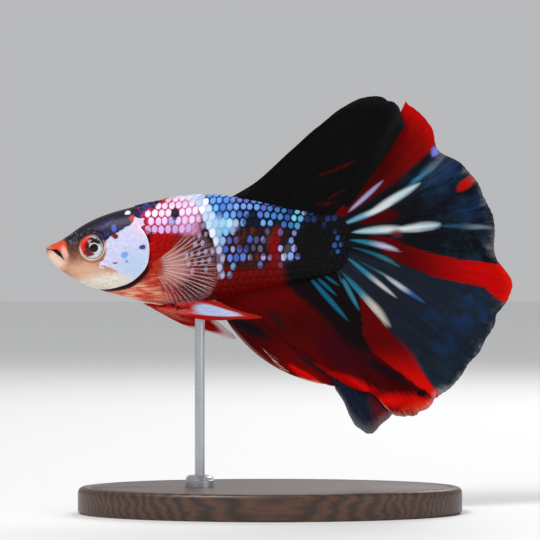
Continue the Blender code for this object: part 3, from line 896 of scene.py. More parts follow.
# ---------------------------------------------------------------------------- the scales
# Thin horny plates, each rooted in the skin under the plate in front of it and standing out a little at its
# rear edge. They lie in even rows on nape, trunk and tail stalk, and are smaller towards the bare breast.
COLUMN_PITCH, ROW_PITCH, TAIL_ROW_PITCH = 1.02, 1.32, 1.04  # from plate to plate, and from row to row
FIRST_PLATE, ROWS_UP = -22.0, 9  # where the rows start along X, and how many lie above the widest line
PLATE_RINGS, PLATE_SIDES = 3, 16
REAR_REACH, FRONT_REACH, HEIGHT_REACH = 0.66, 1.05, 0.63  # a plate's reach, as shares of the pitches
ROOT_SINK, REAR_LIFT, SKIRT_DEPTH = -0.09, 0.015, 0.10  # how its root, rear and rim lie from the surface
ARCH, RIM_CURL = 0.03, 0.015  # how far its upper and lower ends, and its rim, lie below its middle
PITCH_CHANGE = (-4, 11)  # where along X the rows draw together
LEAST_SIZE, SIZE_SPREAD, PLACE_SPREAD, LIFT_SPREAD = 0.74, 0.04, 0.03, 0.008
NEARBY = 0.05  # the step by which the skin's slope is measured
PATCH = 0.0015  # half of the width of a plate's patch in the unwrap
TABLE_COLUMNS, TABLE_RISES = 260, 160

table_x = np.linspace(SNOUT + 0.5, SKIN_END, TABLE_COLUMNS)
table_half, table_height, table_length, table_middle = half_rings(table_x, TABLE_RISES + 1)


def from_table(table, i, j, s, t):
    """A value between the table's four nearest ones."""
    return mix(mix(table[i, j], table[i + 1, j], s), mix(table[i, j + 1], table[i + 1, j + 1], s), t)


def section_at(x):
    """The length of half a section, and the way up along it from the belly to the widest line."""
    return np.interp(x, table_x, table_length), np.interp(x, table_x, table_middle)


def row_pitch(x):
    return mix(ROW_PITCH, TAIL_ROW_PITCH, ease(x, *PITCH_CHANGE))


def flank_point(x, rise, side):
    """A point on one side, by x and the way up along the skin from the widest line, and its share."""
    whole, middle = section_at(x)
    share = np.clip((rise + middle) / whole, 0.0, 1.0)
    column, level = np.interp(x, table_x, np.arange(TABLE_COLUMNS)), share * TABLE_RISES
    i = np.minimum(column.astype(int), TABLE_COLUMNS - 2)
    j = np.minimum(level.astype(int), TABLE_RISES - 1)
    half, height = (from_table(table, i, j, column - i, level - j) for table in (table_half, table_height))
    return np.stack((x, side * half + bend(x), height), -1), share


def plate_roots(side):
    """Where the plates of one side are rooted: x, way up from the widest line, and size."""
    chooser = np.random.default_rng(7 if side < 0 else 11)
    roots = []
    for row in range(-ROWS_UP, ROWS_UP + 1):
        first = FIRST_PLATE + (0.5 if row % 2 else 0.0) * COLUMN_PITCH
        for x in np.arange(first, SKIN_END - 0.2, COLUMN_PITCH):
            rise = row * row_pitch(x)
            point, _ = flank_point(np.array(x), np.array(rise), side)
            behind, _ = from_line(COVER_EDGE, point[0:1], point[2:3])
            whole, middle = section_at(x)
            # plates cover the nape, and the flank behind the gill cover, but for the bare breast
            breast_top = 36.6 - 1.2 * (x + 17)
            on_body = -middle - 0.3 < rise < whole - middle + 0.15
            on_breast = x < -15.6 and point[2] < breast_top
            on_nape = point[2] > 44.9 + 0.35 * (x + 19) and x > -19.6
            on_flank = behind[0] > 0.55 and (point[2] < 43 or x > -18.2)
            if on_body and not on_breast and (on_nape or on_flank):
                near_breast = ease(breast_top + 1.2 - point[2], 0.0, 1.2) * ease(x, -13.5, -14.5)
                size = chooser.uniform(1 - SIZE_SPREAD, 1 + SIZE_SPREAD) * mix(1.0, LEAST_SIZE, near_breast)
                off_x, off_rise = chooser.normal(0, PLACE_SPREAD), chooser.normal(0, PLACE_SPREAD)
                roots.append((x + off_x, rise + off_rise, size))
    return np.array(roots)


def make_scales(name, side):
    """The scales of one side as one piece: side is -1 on the left and 1 on the right."""
    roots = plate_roots(side)
    chooser = np.random.default_rng(23 if side < 0 else 29)
    shares, steps = np.arange(1, PLATE_RINGS + 1) / PLATE_RINGS, np.arange(PLATE_SIDES)
    radius = np.concatenate(([0.0], np.repeat(shares, PLATE_SIDES), np.full(PLATE_SIDES, 1.0)))
    angle = np.concatenate(([0.0], np.tile(steps * 2 * math.pi / PLATE_SIDES, PLATE_RINGS + 1)))
    is_skirt = np.arange(len(radius)) > PLATE_RINGS * PLATE_SIDES
    reach = np.where(np.cos(angle) > 0, REAR_REACH, FRONT_REACH) * COLUMN_PITCH
    rearward, upward = radius * reach * np.cos(angle), radius * HEIGHT_REACH * np.sin(angle)

    x0, rise0, size = (roots[:, k : k + 1] for k in range(3))
    x, rise = x0 + rearward * size, rise0 + upward * row_pitch(x0) * size
    surface, _ = flank_point(x, rise, side)
    along = flank_point(x + NEARBY, rise, side)[0] - flank_point(x - NEARBY, rise, side)[0]
    around = flank_point(x, rise + NEARBY, side)[0] - flank_point(x, rise - NEARBY, side)[0]
    outward = np.cross(along, around) * -side
    outward = unit(outward * np.sign(outward[..., 1:2] * side + 1e-9))
    fall = ARCH * (upward / HEIGHT_REACH) ** 2 + RIM_CURL * radius**6
    lift = mix(ROOT_SINK, REAR_LIFT, ease(rearward, -0.9, 0.62)) - fall
    lift = lift * mix(1.0, 0.55, ease(x0, 1.0, 5.0)) - np.where(is_skirt, SKIRT_DEPTH, 0.0)
    points = surface + outward * (lift + chooser.normal(0, LIFT_SPREAD, (len(roots), 1)))[..., None]

    faces = []
    for i in range(PLATE_SIDES):
        j = (i + 1) % PLATE_SIDES
        faces.append((0, 1 + i, 1 + j))
        for ring in range(PLATE_RINGS):
            a, b = 1 + ring * PLATE_SIDES, 1 + (ring + 1) * PLATE_SIDES
            faces.append((a + i, b + i, b + j, a + j))
    count = len(radius)
    turned = [tuple(face[::side]) for face in faces]
    piece = mesh_piece(
        name,
        points.reshape(-1, 3),
        [tuple((v + k * count for v in face)) for k in range(len(roots)) for face in turned],
    )
    root_points, share = flank_point(x0[:, 0], rise0[:, 0], side)
    keep_values(piece, "root", np.repeat(root_points, count, 0))
    keep_values(piece, "chance", np.repeat(chooser.uniform(0, 1, len(roots)), count))
    across = np.hypot((rearward / COLUMN_PITCH - 0.12) / 0.47, upward / HEIGHT_REACH / 0.86)
    keep_values(piece, "across", np.tile(across, len(roots)))
    local = np.stack((rearward / COLUMN_PITCH, upward / HEIGHT_REACH), -1)
    keep_map(piece, "Plate", np.tile(local, (len(roots), 1)) + 0.5)
    on_skin = skin_map(x0[:, 0], 0.5 * share if side < 0 else 1 - 0.5 * share)
    keep_map(piece, "OFBake", (on_skin[:, None] + PATCH * local[None]).reshape(-1, 2))
    return piece


scale_finish, tree, shader = new_material(
    "scales", Roughness=0.40, Coat_Roughness=0.15, Specular_IOR_Level=0.07
)
chance = attribute(tree, "chance")
coat = use(markings, Place=attribute(tree, "root", "Vector"), Chance=chance)
across = attribute(tree, "across")
place = object_place(tree)
between = use(markings, Place=place, Chance=0.5)
ground = over(coat["Ground"], between["Ground"], 0.75)
# a scale shines where its reach leaves room, less where it is worn, and its rim is dark
wear = noise(place, 6.0, 2.0)
streaky = put("Mapping", {"Vector": place, "Rotation": (0.0, 0.25, 0.0), "Scale": (2.2, 1.0, 0.7)})
wear = wear + noise(streaky, 1.0, 2.0) * ((1.0 - coat["Reach"]) * 2.6)
room = 0.9 + coat["Reach"] * 0.35 - (across + wear * 0.5)
inside = 0.3 + between["Lit"] * 0.7
lit = both(coat["Lit"], inside, step_of(room, -0.16, 0.16))
bright = 0.78 + put("TexWhiteNoise", {"W": chance}, out="Value", noise_dimensions="1D") * 0.3
toward_root = 1.0 + step_of(room, 0.05, 0.75) * 0.1
shine = put("HueSaturation", {"Value": bright * toward_root, "Color": coat["Sheen"]})
rim = step_of(across, 0.85, 1.15) * (coat["Lit"] * 0.25)
rim_ground = over(ground, (0.006, 0.004, 0.008, 1.0), rim)
veiled = over(rim_ground, coat["Sheen"], between["Veil"])
feed(shader, Base_Color=over(veiled, shine, lit), Metallic=lit * 0.1, Coat_Weight=0.01 + lit * 0.16)
from_focus = put("UVMap", uv_map="Plate", tree=tree) - (0.1, 0.5, 0.0)
ridges = calc("SINE", length(from_focus) * 46.0)
bump(shader, ridges + wear, 0.008, 0.6)
for side, name in ((-1, "scales_left"), (1, "scales_right")):
    scales = make_scales(name, side)
    scales.data.materials.append(scale_finish)
    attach(scales, "root")


# ---------------------------------------------------------------------------- the eyes
# A fish's eye is a flattened ball with no lids. The round lens bulges a little out of the pupil, a thin
# bright ring runs round it, and the iris is red in front and silver behind and below.
LENS_X, LENS_Z, LENS_RADIUS = 0.33, -0.06, 0.66  # the lens's middle, from the ball's, and its radius
LENS_RISE, LENS_FURROW = 0.1, 0.05
EYE_RINGS, EYE_SIDES = 64, 96


def make_eye(name, side):
    """A ball as deep as its solid, out of which the lens swells on the outer side."""
    low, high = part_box(name)
    middle, reach = (low + high) / 2 / MM, (high - low) / 2 / MM
    middle.x, reach.x, reach.z = EYE_X, EYE_RADIUS, EYE_RADIUS
    polar = np.linspace(0, math.pi, EYE_RINGS)[:, None]
    turn = np.linspace(0, 2 * math.pi, EYE_SIDES, endpoint=False)[None]
    across, up = np.sin(polar) * np.cos(turn), np.sin(polar) * np.sin(turn)
    x, z, out_y = reach.x * across, reach.z * up, np.cos(polar) * np.ones_like(turn)
    to_lens = np.hypot(x - LENS_X, z - LENS_Z)
    swell = LENS_RISE * np.sqrt(np.clip(1 - (to_lens / LENS_RADIUS) ** 2, 0, 1))
    swell = swell - LENS_FURROW * bell(to_lens, LENS_RADIUS + 0.02, 0.06)
    y = side * (reach.y * out_y + swell * (out_y > 0))
    points = np.stack((x + middle.x, y + middle.y, z + middle.z), -1)
    number = np.arange(EYE_RINGS * EYE_SIDES).reshape(EYE_RINGS, EYE_SIDES)[1:-1]
    far = np.roll(number, -1, 1)
    quads = np.stack((number[:-1], number[1:], far[1:], far[:-1]), -1).reshape(-1, 4).tolist()
    poles = [tuple(number[0][::-1].tolist()), tuple(number[-1].tolist())]
    faces = [tuple(face[:: -side]) for face in quads + poles]
    kept = points.reshape(-1, 3)[EYE_SIDES:-EYE_SIDES]
    return mesh_piece(name + "_ball", kept, [tuple(v - EYE_SIDES for v in face) for face in faces])


eye_finish, tree, shader = new_material("eye", Roughness=0.25, Coat_Roughness=0.03, Specular_IOR_Level=0.2)
place = object_place(tree)
from_middle = place - (EYE_X, 0.0, EYE_Z)
on_iris = from_middle + (noise(place, 1.3, 4.0, 0.6, "Color") - (0.5, 0.5, 0.5)) * 0.9
from_lens = from_middle - (LENS_X, 0.0, LENS_Z)
to_lens, to_middle = length(from_lens * SIDE_VIEW), length(from_middle * SIDE_VIEW)
fibres = noise(on_vectors("NORMALIZE", from_lens), 6.0, 4.0, 0.65)
# the iris is silver with fine fibres, red in front, and has a dark arch over the pupil
iris = paint(
    rgb(226, 234, 246),
    (rgb(150, 170, 204), step_of(fibres, 0.46, 0.7)),
    (rgb(54, 66, 98), both(step_of(fibres, 0.4, 0.3), blot(on_iris, 1.3, -0.1, 0.8, 1.3, soft=0.6))),
)
iris = dab(
    iris, on_iris,
    (rgb(214, 8, 2), -1.25, 0.35, 0.95, 1.7, 14, 0.15),
    (rgb(240, 66, 28), -0.95, 1.25, 1.0, 0.55, 38, 0.6),
    (rgb(190, 60, 66), -0.72, 0.6, 0.14, 0.5, 10, 0.6),
    (rgb(122, 2, 6), -0.35, -0.75, 0.85, 0.65, 24, 0.15),
    (rgb(74, 4, 12), -0.62, 0.05, 0.34, 0.9, 12, 0.5),
    (rgb(22, 14, 20), 0.36, 0.95, 0.98, 0.5, -16, 0.25),
)
# its pale outer rim, the thin gold ring round the pupil, and the pupil
rim = over(rgb(238, 214, 214), rgb(228, 226, 208), step_of(split(from_middle)[2], 0.2, -0.6))
rim = over(rim, rgb(238, 96, 60), blot(from_middle, -1.3, 0.9, 1.0, 1.0, soft=0.6))
iris = over(iris, rim, step_of(to_middle, EYE_RADIUS - 0.2, EYE_RADIUS - 0.08))
gold = both(
    step_of(to_lens, LENS_RADIUS - 0.04, LENS_RADIUS + 0.02),
    step_of(to_lens, LENS_RADIUS + 0.17, LENS_RADIUS + 0.07),
)
iris = over(iris, rgb(240, 224, 206), but(gold, blot(from_lens, -0.75, -0.45, 0.75, 0.6, 30, soft=0.4)))
pupil = step_of(to_lens, LENS_RADIUS, LENS_RADIUS - 0.06)
LENS_BLACK = (0.0008, 0.0008, 0.001, 1.0)
feed(
    shader,
    Base_Color=over(iris, LENS_BLACK, pupil),
    Metallic=(1.0 - pupil) * 0.15,
    Coat_Weight=0.3 - pupil * 0.22,
)
for side, name in ((-1, "eye_left"), (1, "eye_right")):
    ball = make_eye(name, side)
    ball.data.materials.append(eye_finish)
    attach(ball, "root")
    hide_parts(name)


# ---------------------------------------------------------------------------- the unpaired fins
# Dorsal, anal and tail fin are thin skins stretched over bony rays that fork twice on the way to the edge.
# Their roots are sunk in the body. The edge draws back between the rays, and the ripples grow towards it.
LEAN = 1.5  # how far the rear edges of dorsal and anal fin lie to the left at most
DORSAL_ROOT = ((-5.7, 47.75), (0.0, 46.85), (5.0, 45.9), (11.3, 45.5))
DORSAL_TIPS = (
    (-5.2, 48.1), (-1.7, 50.3), (2.8, 54.4), (7.0, 58.2), (10.5, 61.0), (13.7, 62.7), (16.5, 63.1),
    (18.7, 62.3), (20.0, 60.8), (20.5, 58.7),
)
ANAL_ROOT = ((-8.0, 31.7), (-3.6, 32.8), (0.6, 33.7), (4.2, 34.4), (7.4, 35.2), (10.6, 36.1))
ANAL_TIPS = (
    (7.4, 19.5), (10.2, 18.9), (12.8, 18.4), (14.8, 18.1), (16.3, 17.3), (17.6, 15.7), (19.3, 14.4),
    (21.9, 14.5), (24.2, 15.9), (25.4, 18.0),
)
LOBE_ROOT = ((7.0, 23.0), (10.0, 22.0), (13.0, 21.5), (16.0, 21.0))
LOBE_TIPS = (
    (9.9, 18.6), (11.2, 16.6), (12.2, 14.2), (13.3, 12.5), (15.5, 11.8), (17.0, 13.3), (18.6, 14.6),
)
TAIL_ROOT = ((10.4, 45.85), (11.2, 43.2), (11.4, 40.8), (11.2, 38.4), (10.2, 35.9))
TAIL_TIPS = (
    (20.6, 62.3), (24.4, 59.0), (25.7, 54.9), (29.3, 52.8), (32.0, 49.4), (33.7, 45.9), (34.5, 42.4),
    (34.7, 38.9), (37.0, 34.2), (35.0, 30.3), (33.3, 26.6), (30.9, 22.6), (28.0, 19.1), (25.3, 17.2),
)


FINE_HEIGHT, FINE_WAVES, FINE_PHASE = 0.4, 2.3, 2.1  # the fine ripple, as shares of the broad one


def ripple(u, v, height, waves, phase):
    """The sideways ripple of a soft fin, which grows from its root to its edge."""
    v = np.maximum(v, 0)
    broad = np.sin(2 * math.pi * waves * u + phase)
    fine = FINE_HEIGHT * np.sin(2 * math.pi * (FINE_WAVES * waves) * u + FINE_PHASE * phase + 2 * v)
    return height * v**1.5 * (broad + fine)


def lean(u, v):
    """How far a fin's rear lies to the left at u, v, so that it passes beside the tail fin."""
    return -LEAN * u * u * v * (2 - v)


FORK_SPREADS, FORK_LENGTH = (0.24, 0.12), 0.4  # how far the branches part, as shares, and over what way
COLUMNS_PER_RAY = 24
RAY_WIDTHS = (0.13, 0.055)  # at the root and at the edge, as shares of the space between two rays
THINNING = 0.55  # what is left of the skin, and of the rays' height, at the edge
DRAWN_BETWEEN, DRAWN_COARSE, DRAWN_FINE = 0.16, 0.9, 0.12  # what makes up the ragged edge


def from_ray(u, v, rays, forks):
    """Distance to the nearest branch of a ray, as a share of the space between two rays."""
    across = np.abs(u * rays - np.floor(u * rays) - 0.5)
    for start, spread in zip(forks, FORK_SPREADS):
        across = np.abs(across - spread * ease(v, start, start + FORK_LENGTH))
    return across


def make_fin(
    name, root, tips, bow, place, rays, thickness,
    forks=(0.30, 0.62), sunk=0.05, rows=120, ragged=0.02, ray_height=0.04,
):
    """A fin as a closed sheet with forked rays on both faces. u runs across the rays and v along them.

    bow holds how far evenly spaced rays swing off their straight lines, place gives the sheet's y, and
    thickness is (at the root, at the edge). forks are where the rays part, sunk is how far the root reaches
    into the body, ragged is how far the edge draws back, and ray_height how far the rays stand out.
    """
    columns = rays * COLUMNS_PER_RAY + 1
    u = np.linspace(0, 1, columns)[:, None]
    v = np.linspace(-sunk, 1, rows)[None]
    start, end = smooth(root, u[:, 0]), smooth(tips, u[:, 0])
    run = end - start
    chooser = np.random.default_rng(len(name))
    coarse, fine = (
        np.interp(u[:, 0], np.linspace(0, 1, rays * k), chooser.uniform(0, 1, rays * k)) for k in (2, 7)
    )
    at_edge = from_ray(u[:, 0], np.ones(columns), rays, forks)
    drawn = DRAWN_BETWEEN * ease(at_edge, 0.0, 0.16) * (0.3 + fine)
    drawn = ragged * (drawn + DRAWN_COARSE * coarse**2 + DRAWN_FINE * fine)
    run = run * (1 - (drawn * ease(u[:, 0], 0, 0.02) * ease(u[:, 0], 1, 0.98))[:, None])
    swing = np.stack((-run[:, 1], run[:, 0]), -1) * smooth([(share,) for share in bow], u[:, 0])
    flat = start[:, None] + run[:, None] * v[..., None] + swing[:, None] * (4 * v * (1 - v))[..., None]
    x, z = flat[..., 0], flat[..., 1]
    across = from_ray(u, v, rays, forks)
    ray = bell(across, 0, mix(*RAY_WIDTHS, ease(v, 0, 1)))
    half = mix(*thickness, ease(v, 0, 0.55)) / 2
    half = half * mix(1.0, THINNING, ease(v, 0.85, 1.0))
    half = half + ray_height * ray * mix(1.0, THINNING, v) * ease(v, 1.0, 0.97)
    middle = place(x, z, u, v)
    points = np.stack([np.stack((x, middle + side * half, z), -1) for side in (-1, 1)])

    number = np.arange(2 * columns * rows).reshape(2, columns, rows)
    sheet = [np.stack((n[:-1, :-1], n[1:, :-1], n[1:, 1:], n[:-1, 1:]), -1).reshape(-1, 4) for n in number]
    rim = np.concatenate(
        (number[:, :, 0], number[:, -1, 1:], number[:, ::-1, -1][:, 1:], number[:, 0, -2:0:-1]), 1
    )
    close = np.stack((rim[0], rim[1], np.roll(rim[1], -1), np.roll(rim[0], -1)), -1)
    faces = np.concatenate((sheet[0], sheet[1][:, ::-1], close))
    piece = mesh_piece(name, points.reshape(-1, 3), faces.tolist())
    on_sheet = np.stack(np.broadcast_arrays(u, v), -1).reshape(-1, 2)
    wide = np.stack(np.broadcast_arrays(u, (v + sunk) / (1 + sunk)), -1).reshape(-1, 2)
    halves = [wide * (0.48, MAP_ROOM) + (MAP_MARGIN + 0.5 * k, MAP_MARGIN) for k in (0, 1)]
    keep_map(piece, "Fin", np.tile(on_sheet, (2, 1)))
    keep_map(piece, "OFBake", np.concatenate(halves))
    keep_values(piece, "ray", np.tile(np.broadcast_to(ray, x.shape).ravel(), 2))
    return piece


# Streak: a lens-shaped mark from one point to another, narrowing to both ends
streak_group, given, out = new_group(
    "Streak",
    (
        ("Place", "Vector", None),
        ("Start", "Vector", None),
        ("Run", "Vector", (0.0, 0.0, 1.0)),
        ("Width", "Float", 0.02),
    ),
    (("Mask", "Float"), ("Along", "Float")),
)


def dot(a, b):
    return on_vectors("DOT_PRODUCT", a, b, out="Value")


offset = (given["Place"] - given["Start"]) * SIDE_VIEW
along = dot(offset, given["Run"]) / dot(given["Run"], given["Run"])
off = length(offset - given["Run"] * along)
swell = calc("SQRT", larger(along * (1.0 - along) * 4.0, 0.0))
feed(out, Mask=step_of(swell - off / given["Width"] * 0.8, 0.0, 0.85), Along=along)


def streak(place, x0, z0, x1, z1, width):
    """A streak from x0, z0 to x1, z1, with half of its width: its mask, and the share along it."""
    run = (x1 - x0, 0.0, z1 - z0)
    made = use(streak_group, Place=place, Start=(x0, 0.0, z0), Run=run, Width=width)
    return made["Mask"], made["Along"]


def stroke(below, place, *rows):
    """Streaks laid on in order: both ends, half of the width, and the tints at start and end."""
    for *line, near, far in rows:
        mask, along = streak(place, *line)
        below = over(below, over(near, far, step_of(along, *STREAK_TURN)), mask)
    return below


def on_fin(tree):
    """The fin's own u and v."""
    return split(put("UVMap", tree=tree, uv_map="Fin"))[:2]


FRAY_ACROSS, FRAY_ALONG = 70.0, 5.0  # how fine the fraying is
FRAY_U, FRAY_V, FRAY_PLACE = 0.022, 0.10, 1.2  # how far it shifts u, v and the place


def fin_material(name, **values):
    """A material with u and v frayed along the rays, the place on the object frayed too, and its rays."""
    made, tree, shader = new_material(name, Specular_IOR_Level=0.04, **values)
    u, v = on_fin(tree)
    fray = noise(put("CombineXYZ", {"X": u * FRAY_ACROSS, "Y": v * FRAY_ALONG}), 1.0, 3.0, 0.6)
    off = fray - 0.5
    u, v = u + off * FRAY_U, v + off * FRAY_V
    at = object_place(tree) + join(off * FRAY_PLACE, off * FRAY_PLACE)
    return made, tree, shader, u, v, at, fray, attribute(tree, "ray")


JOINTS_TURN = 330.0  # how far the wave of the rays' cross joints turns from root to edge
STREAK_TURN = (0.35, 0.7)  # where along a streak its first tint gives way to the second


def finish_fin(tree, shader, colour, fray, ray):
    """Skin a little darker between the rays, and the rays' cross joints as fine bumps."""
    between = (1.0 - ray) * (fray * 0.25)
    feed(shader, Base_Color=over(colour, (0.0, 0.0, 0.0, 1.0), between))
    joints = calc("SINE", on_fin(tree)[1] * JOINTS_TURN) * ray
    bump(shader, joints * 0.2 + fray, 0.012, 0.5)


FIN_BRIGHT = rgb(216, 6, 3)
STREAK_WHITE, STREAK_LILAC, STREAK_TEAL = rgb(214, 222, 228), rgb(158, 160, 202), rgb(40, 128, 152)

dorsal = make_fin(
    "dorsal_sheet", DORSAL_ROOT, DORSAL_TIPS, (0.0, 0.03, 0.0, -0.015),
    lambda x, z, u, v: bend(x) + lean(u, v) + ripple(u, v, 0.8, 1.1, 2.6), 12, (0.50, 0.16), sunk=0.10,
)
# black, with a few dull red streaks low at the rear and a greyer edge
finish, tree, shader, u, v, at, fray, ray = fin_material("dorsal_skin", Roughness=0.5)
colour = over(rgb(8, 7, 8), rgb(14, 12, 14), step_of(fray, 0.35, 0.7))
for line in (
    (9.0, 51.4, 13.4, 53.4, 0.35),
    (7.2, 50.9, 10.2, 51.9, 0.20),
    (6.6, 46.6, 10.2, 46.9, 0.35),
    (8.6, 47.4, 11.6, 49.0, 0.20),
):
    mask, _ = streak(at, *line)
    colour = over(colour, rgb(76, 4, 5), both(mask, step_of(fray, 0.3, 0.62)))
colour = over(colour, rgb(34, 36, 42), step_of(v, 0.9, 1.02) * 0.5)
finish_fin(tree, shader, colour, fray, ray)
dorsal.data.materials.append(finish)
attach(dorsal, "root")
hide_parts("dorsal_fin")

# The anal fin's front part overlaps its lower lobe, which is folded in behind it.
ANAL_BOW = (-0.12, -0.09, -0.055, -0.02, 0.04, 0.045, 0.03, 0.015, 0.01, 0.01)
# deep red to black at the root and in front, bright red rearward, with a few teal streaks at the root
finish, tree, shader, u, v, at, fray, ray = fin_material("anal_skin", Roughness=0.46)
at_z = split(at)[2]
fringe = both(step_of(u, 0.035, 0.012), step_of(v, 0.15, 0.35))
colour = paint(
    rgb(76, 1, 2),
    (rgb(54, 1, 2), step_of(fray, 0.3, 0.8)),
    (rgb(98, 1, 1), step_of(v, 0.3, 0.0)),
    (rgb(178, 122, 118), fringe * 0.6),
    (rgb(108, 1, 1), both(step_of(v, 0.3, 0.8), step_of(u, 0.45, 0.25))),
    (rgb(58, 2, 12), blot(at, 10.5, 24.4, 4.2, 2.6, -42, soft=0.6)),
)
black = above_line(
    at,
    (
        (0.0, 36.4), (1.8, 34.9), (3.8, 33.2), (6.2, 31.1), (8.6, 29.0), (10.6, 26.6), (12.6, 24.6),
        (15.0, 23.2), (18.0, 22.0),
    ),
    0.8,
)
colour = over(colour, rgb(18, 9, 13), but(black, step_of(at_z, 25.6, 22.6)))
for *line, tint, amount in (
    (-6.6, 29.5, 0.2, 26.3, 1.3, rgb(18, 13, 16), 1.0),
    (-5.0, 29.1, -0.6, 26.9, 0.8, rgb(16, 12, 15), 1.0),
    (-0.4, 31.2, 2.4, 27.6, 0.7, rgb(34, 14, 18), 0.8),
    (1.6, 26.2, 8.6, 21.9, 0.35, rgb(40, 4, 8), 0.7),
    (3.4, 24.3, 10.6, 19.8, 0.60, rgb(22, 18, 24), 0.95),
    (6.2, 22.8, 12.4, 19.7, 0.35, rgb(168, 2, 2), 0.7),
    (8.4, 21.4, 18.2, 16.7, 1.10, FIN_BRIGHT, 1.0),
    (2.4, 22.4, 8.0, 19.4, 0.65, FIN_BRIGHT, 0.9),
    (14.4, 18.6, 20.4, 16.4, 1.0, rgb(132, 2, 2), 0.9),
    (15.6, 17.0, 25.6, 16.4, 1.6, rgb(226, 12, 4), 1.0),
    (19.4, 15.2, 25.0, 16.4, 0.9, rgb(236, 54, 26), 0.8),
    (-1.2, 24.9, 3.0, 20.6, 0.22, rgb(206, 176, 170), 0.8),
    (3.2, 20.6, 9.2, 19.1, 0.26, rgb(244, 170, 140), 1.0),
    (8.0, 19.2, 12.6, 18.5, 0.20, rgb(196, 170, 150), 0.8),
):
    mask, _ = streak(at, *line)
    colour = over(colour, tint, mask * amount)
place = object_place(tree)
for *line, tint in (
    (5.6, 36.0, 12.0, 28.8, 0.46, rgb(12, 104, 136)),
    (6.8, 35.8, 10.2, 32.7, 0.34, rgb(14, 92, 118)),
    (8.0, 36.0, 10.6, 34.2, 0.26, rgb(14, 92, 118)),
    (10.3, 36.6, 13.6, 30.4, 0.44, rgb(44, 122, 144)),
):
    mask, _ = streak(place, *line)
    colour = over(colour, tint, both(mask, step_of(fray, 0.2, 0.45)))
rear = above_line(
    at,
    (
        (13.0, 60.0), (13.3, 34.0), (13.9, 29.7), (14.0, 27.2), (15.2, 24.8), (17.8, 22.5), (21.1, 20.1),
        (23.4, 18.4), (26.0, 17.0),
    ),
    0.25,
)
rear_red = over(rgb(92, 1, 1), rgb(222, 8, 3), step_of(at_z, 26.0, 18.0))
colour = paint(
    colour,
    (rear_red, rear),
    (rgb(30, 10, 18), streak(at, 13.0, 24.0, 21.6, 18.9, 1.0)[0]),
    (rgb(20, 6, 8), blot(at, 22.9, 18.0, 0.7, 0.5, soft=0.4)),
)
fringe = both(step_of(v, 0.955, 1.01), step_of(u, 0.45, 0.6))
colour = over(colour, rgb(226, 142, 132), fringe * 0.8)
finish_fin(tree, shader, colour, fray, ray)
anal = make_fin(
    "anal_sheet", ANAL_ROOT, ANAL_TIPS, ANAL_BOW,
    lambda x, z, u, v: bend(x) + lean(u, v) + ripple(u, v, 0.9, 1.6, 0.9), 20, (0.5, 0.16), sunk=0.06,
    rows=130,
)
anal.data.materials.append(finish)
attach(anal, "root")
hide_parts("anal_fin")

lobe = make_fin(
    "anal_lobe", LOBE_ROOT, LOBE_TIPS, (0.1, 0.1, 0.05, 0.0),
    lambda x, z, u, v: bend(x) + ripple(u, v, 0.25, 1.2, 0.0), 7, (0.2, 0.14), sunk=0.0, rows=60,
    ragged=0.05,
)
# blue-black, red at the rear
finish, tree, shader, u, v, at, fray, ray = fin_material("lobe_skin", Roughness=0.46)
colour = paint(
    rgb(18, 22, 36),
    (rgb(34, 42, 70), step_of(fray, 0.4, 0.7)),
    (rgb(120, 14, 12), both(step_of(u, 0.62, 0.85), step_of(fray, 0.35, 0.6))),
)
finish_fin(tree, shader, colour, fray, ray)
feed(shader, Alpha=1.0 - step_of(v, 0.7, 1.05) * 0.35)
lobe.data.materials.append(finish)
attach(lobe, "root")

tail = make_fin(
    "tail_sheet", TAIL_ROOT, TAIL_TIPS, (-0.03, -0.04, -0.02, 0.0, 0.02, 0.02, -0.09),
    lambda x, z, u, v: bend(x) * mix(1.0, 0.7, np.maximum(v, 0)) + ripple(u, v, 1.2, 2.4, 0.4), 14,
    (0.8, 0.18), sunk=0.05, rows=150,
)
# black with blue clouds
finish, tree, shader, u, v, at, fray, ray = fin_material("tail_skin", Roughness=0.46)
spot = join(u, v)
cloud = step_of(noise(at, 0.42, 4.0, 0.6), 0.4, 0.68)
colour = paint(
    rgb(12, 14, 18),
    (rgb(20, 27, 40), step_of(fray, 0.45, 0.8)),
    (rgb(27, 33, 46), both(step_of(u, 0.58, 0.7), step_of(fray, 0.15, 0.5))),
    (rgb(24, 42, 58), both(cloud, step_of(v, 0.45, 0.85))),
)
for at_u, at_v in ((0.23, 0.76), (0.21, 0.93), (0.367, 0.88)):
    glimmer = both(blot(spot, at_u, at_v, 0.045, 0.11, soft=0.8), step_of(fray, 0.25, 0.75))
    colour = over(colour, rgb(24, 50, 88), glimmer)
patchy = step_of(noise(at, 0.6, 3.0), 0.36, 0.58)
for x, z, reach in (
    (29.0, 29.2, 1.9),
    (27.0, 25.4, 2.2),
    (30.8, 32.4, 1.8),
    (24.6, 29.4, 1.4),
    (32.4, 29.6, 1.2),
):
    patch = blot(at, x, z, reach, reach * 0.8, -30, soft=0.7)
    colour = over(colour, rgb(24, 46, 80), both(patch, patchy))

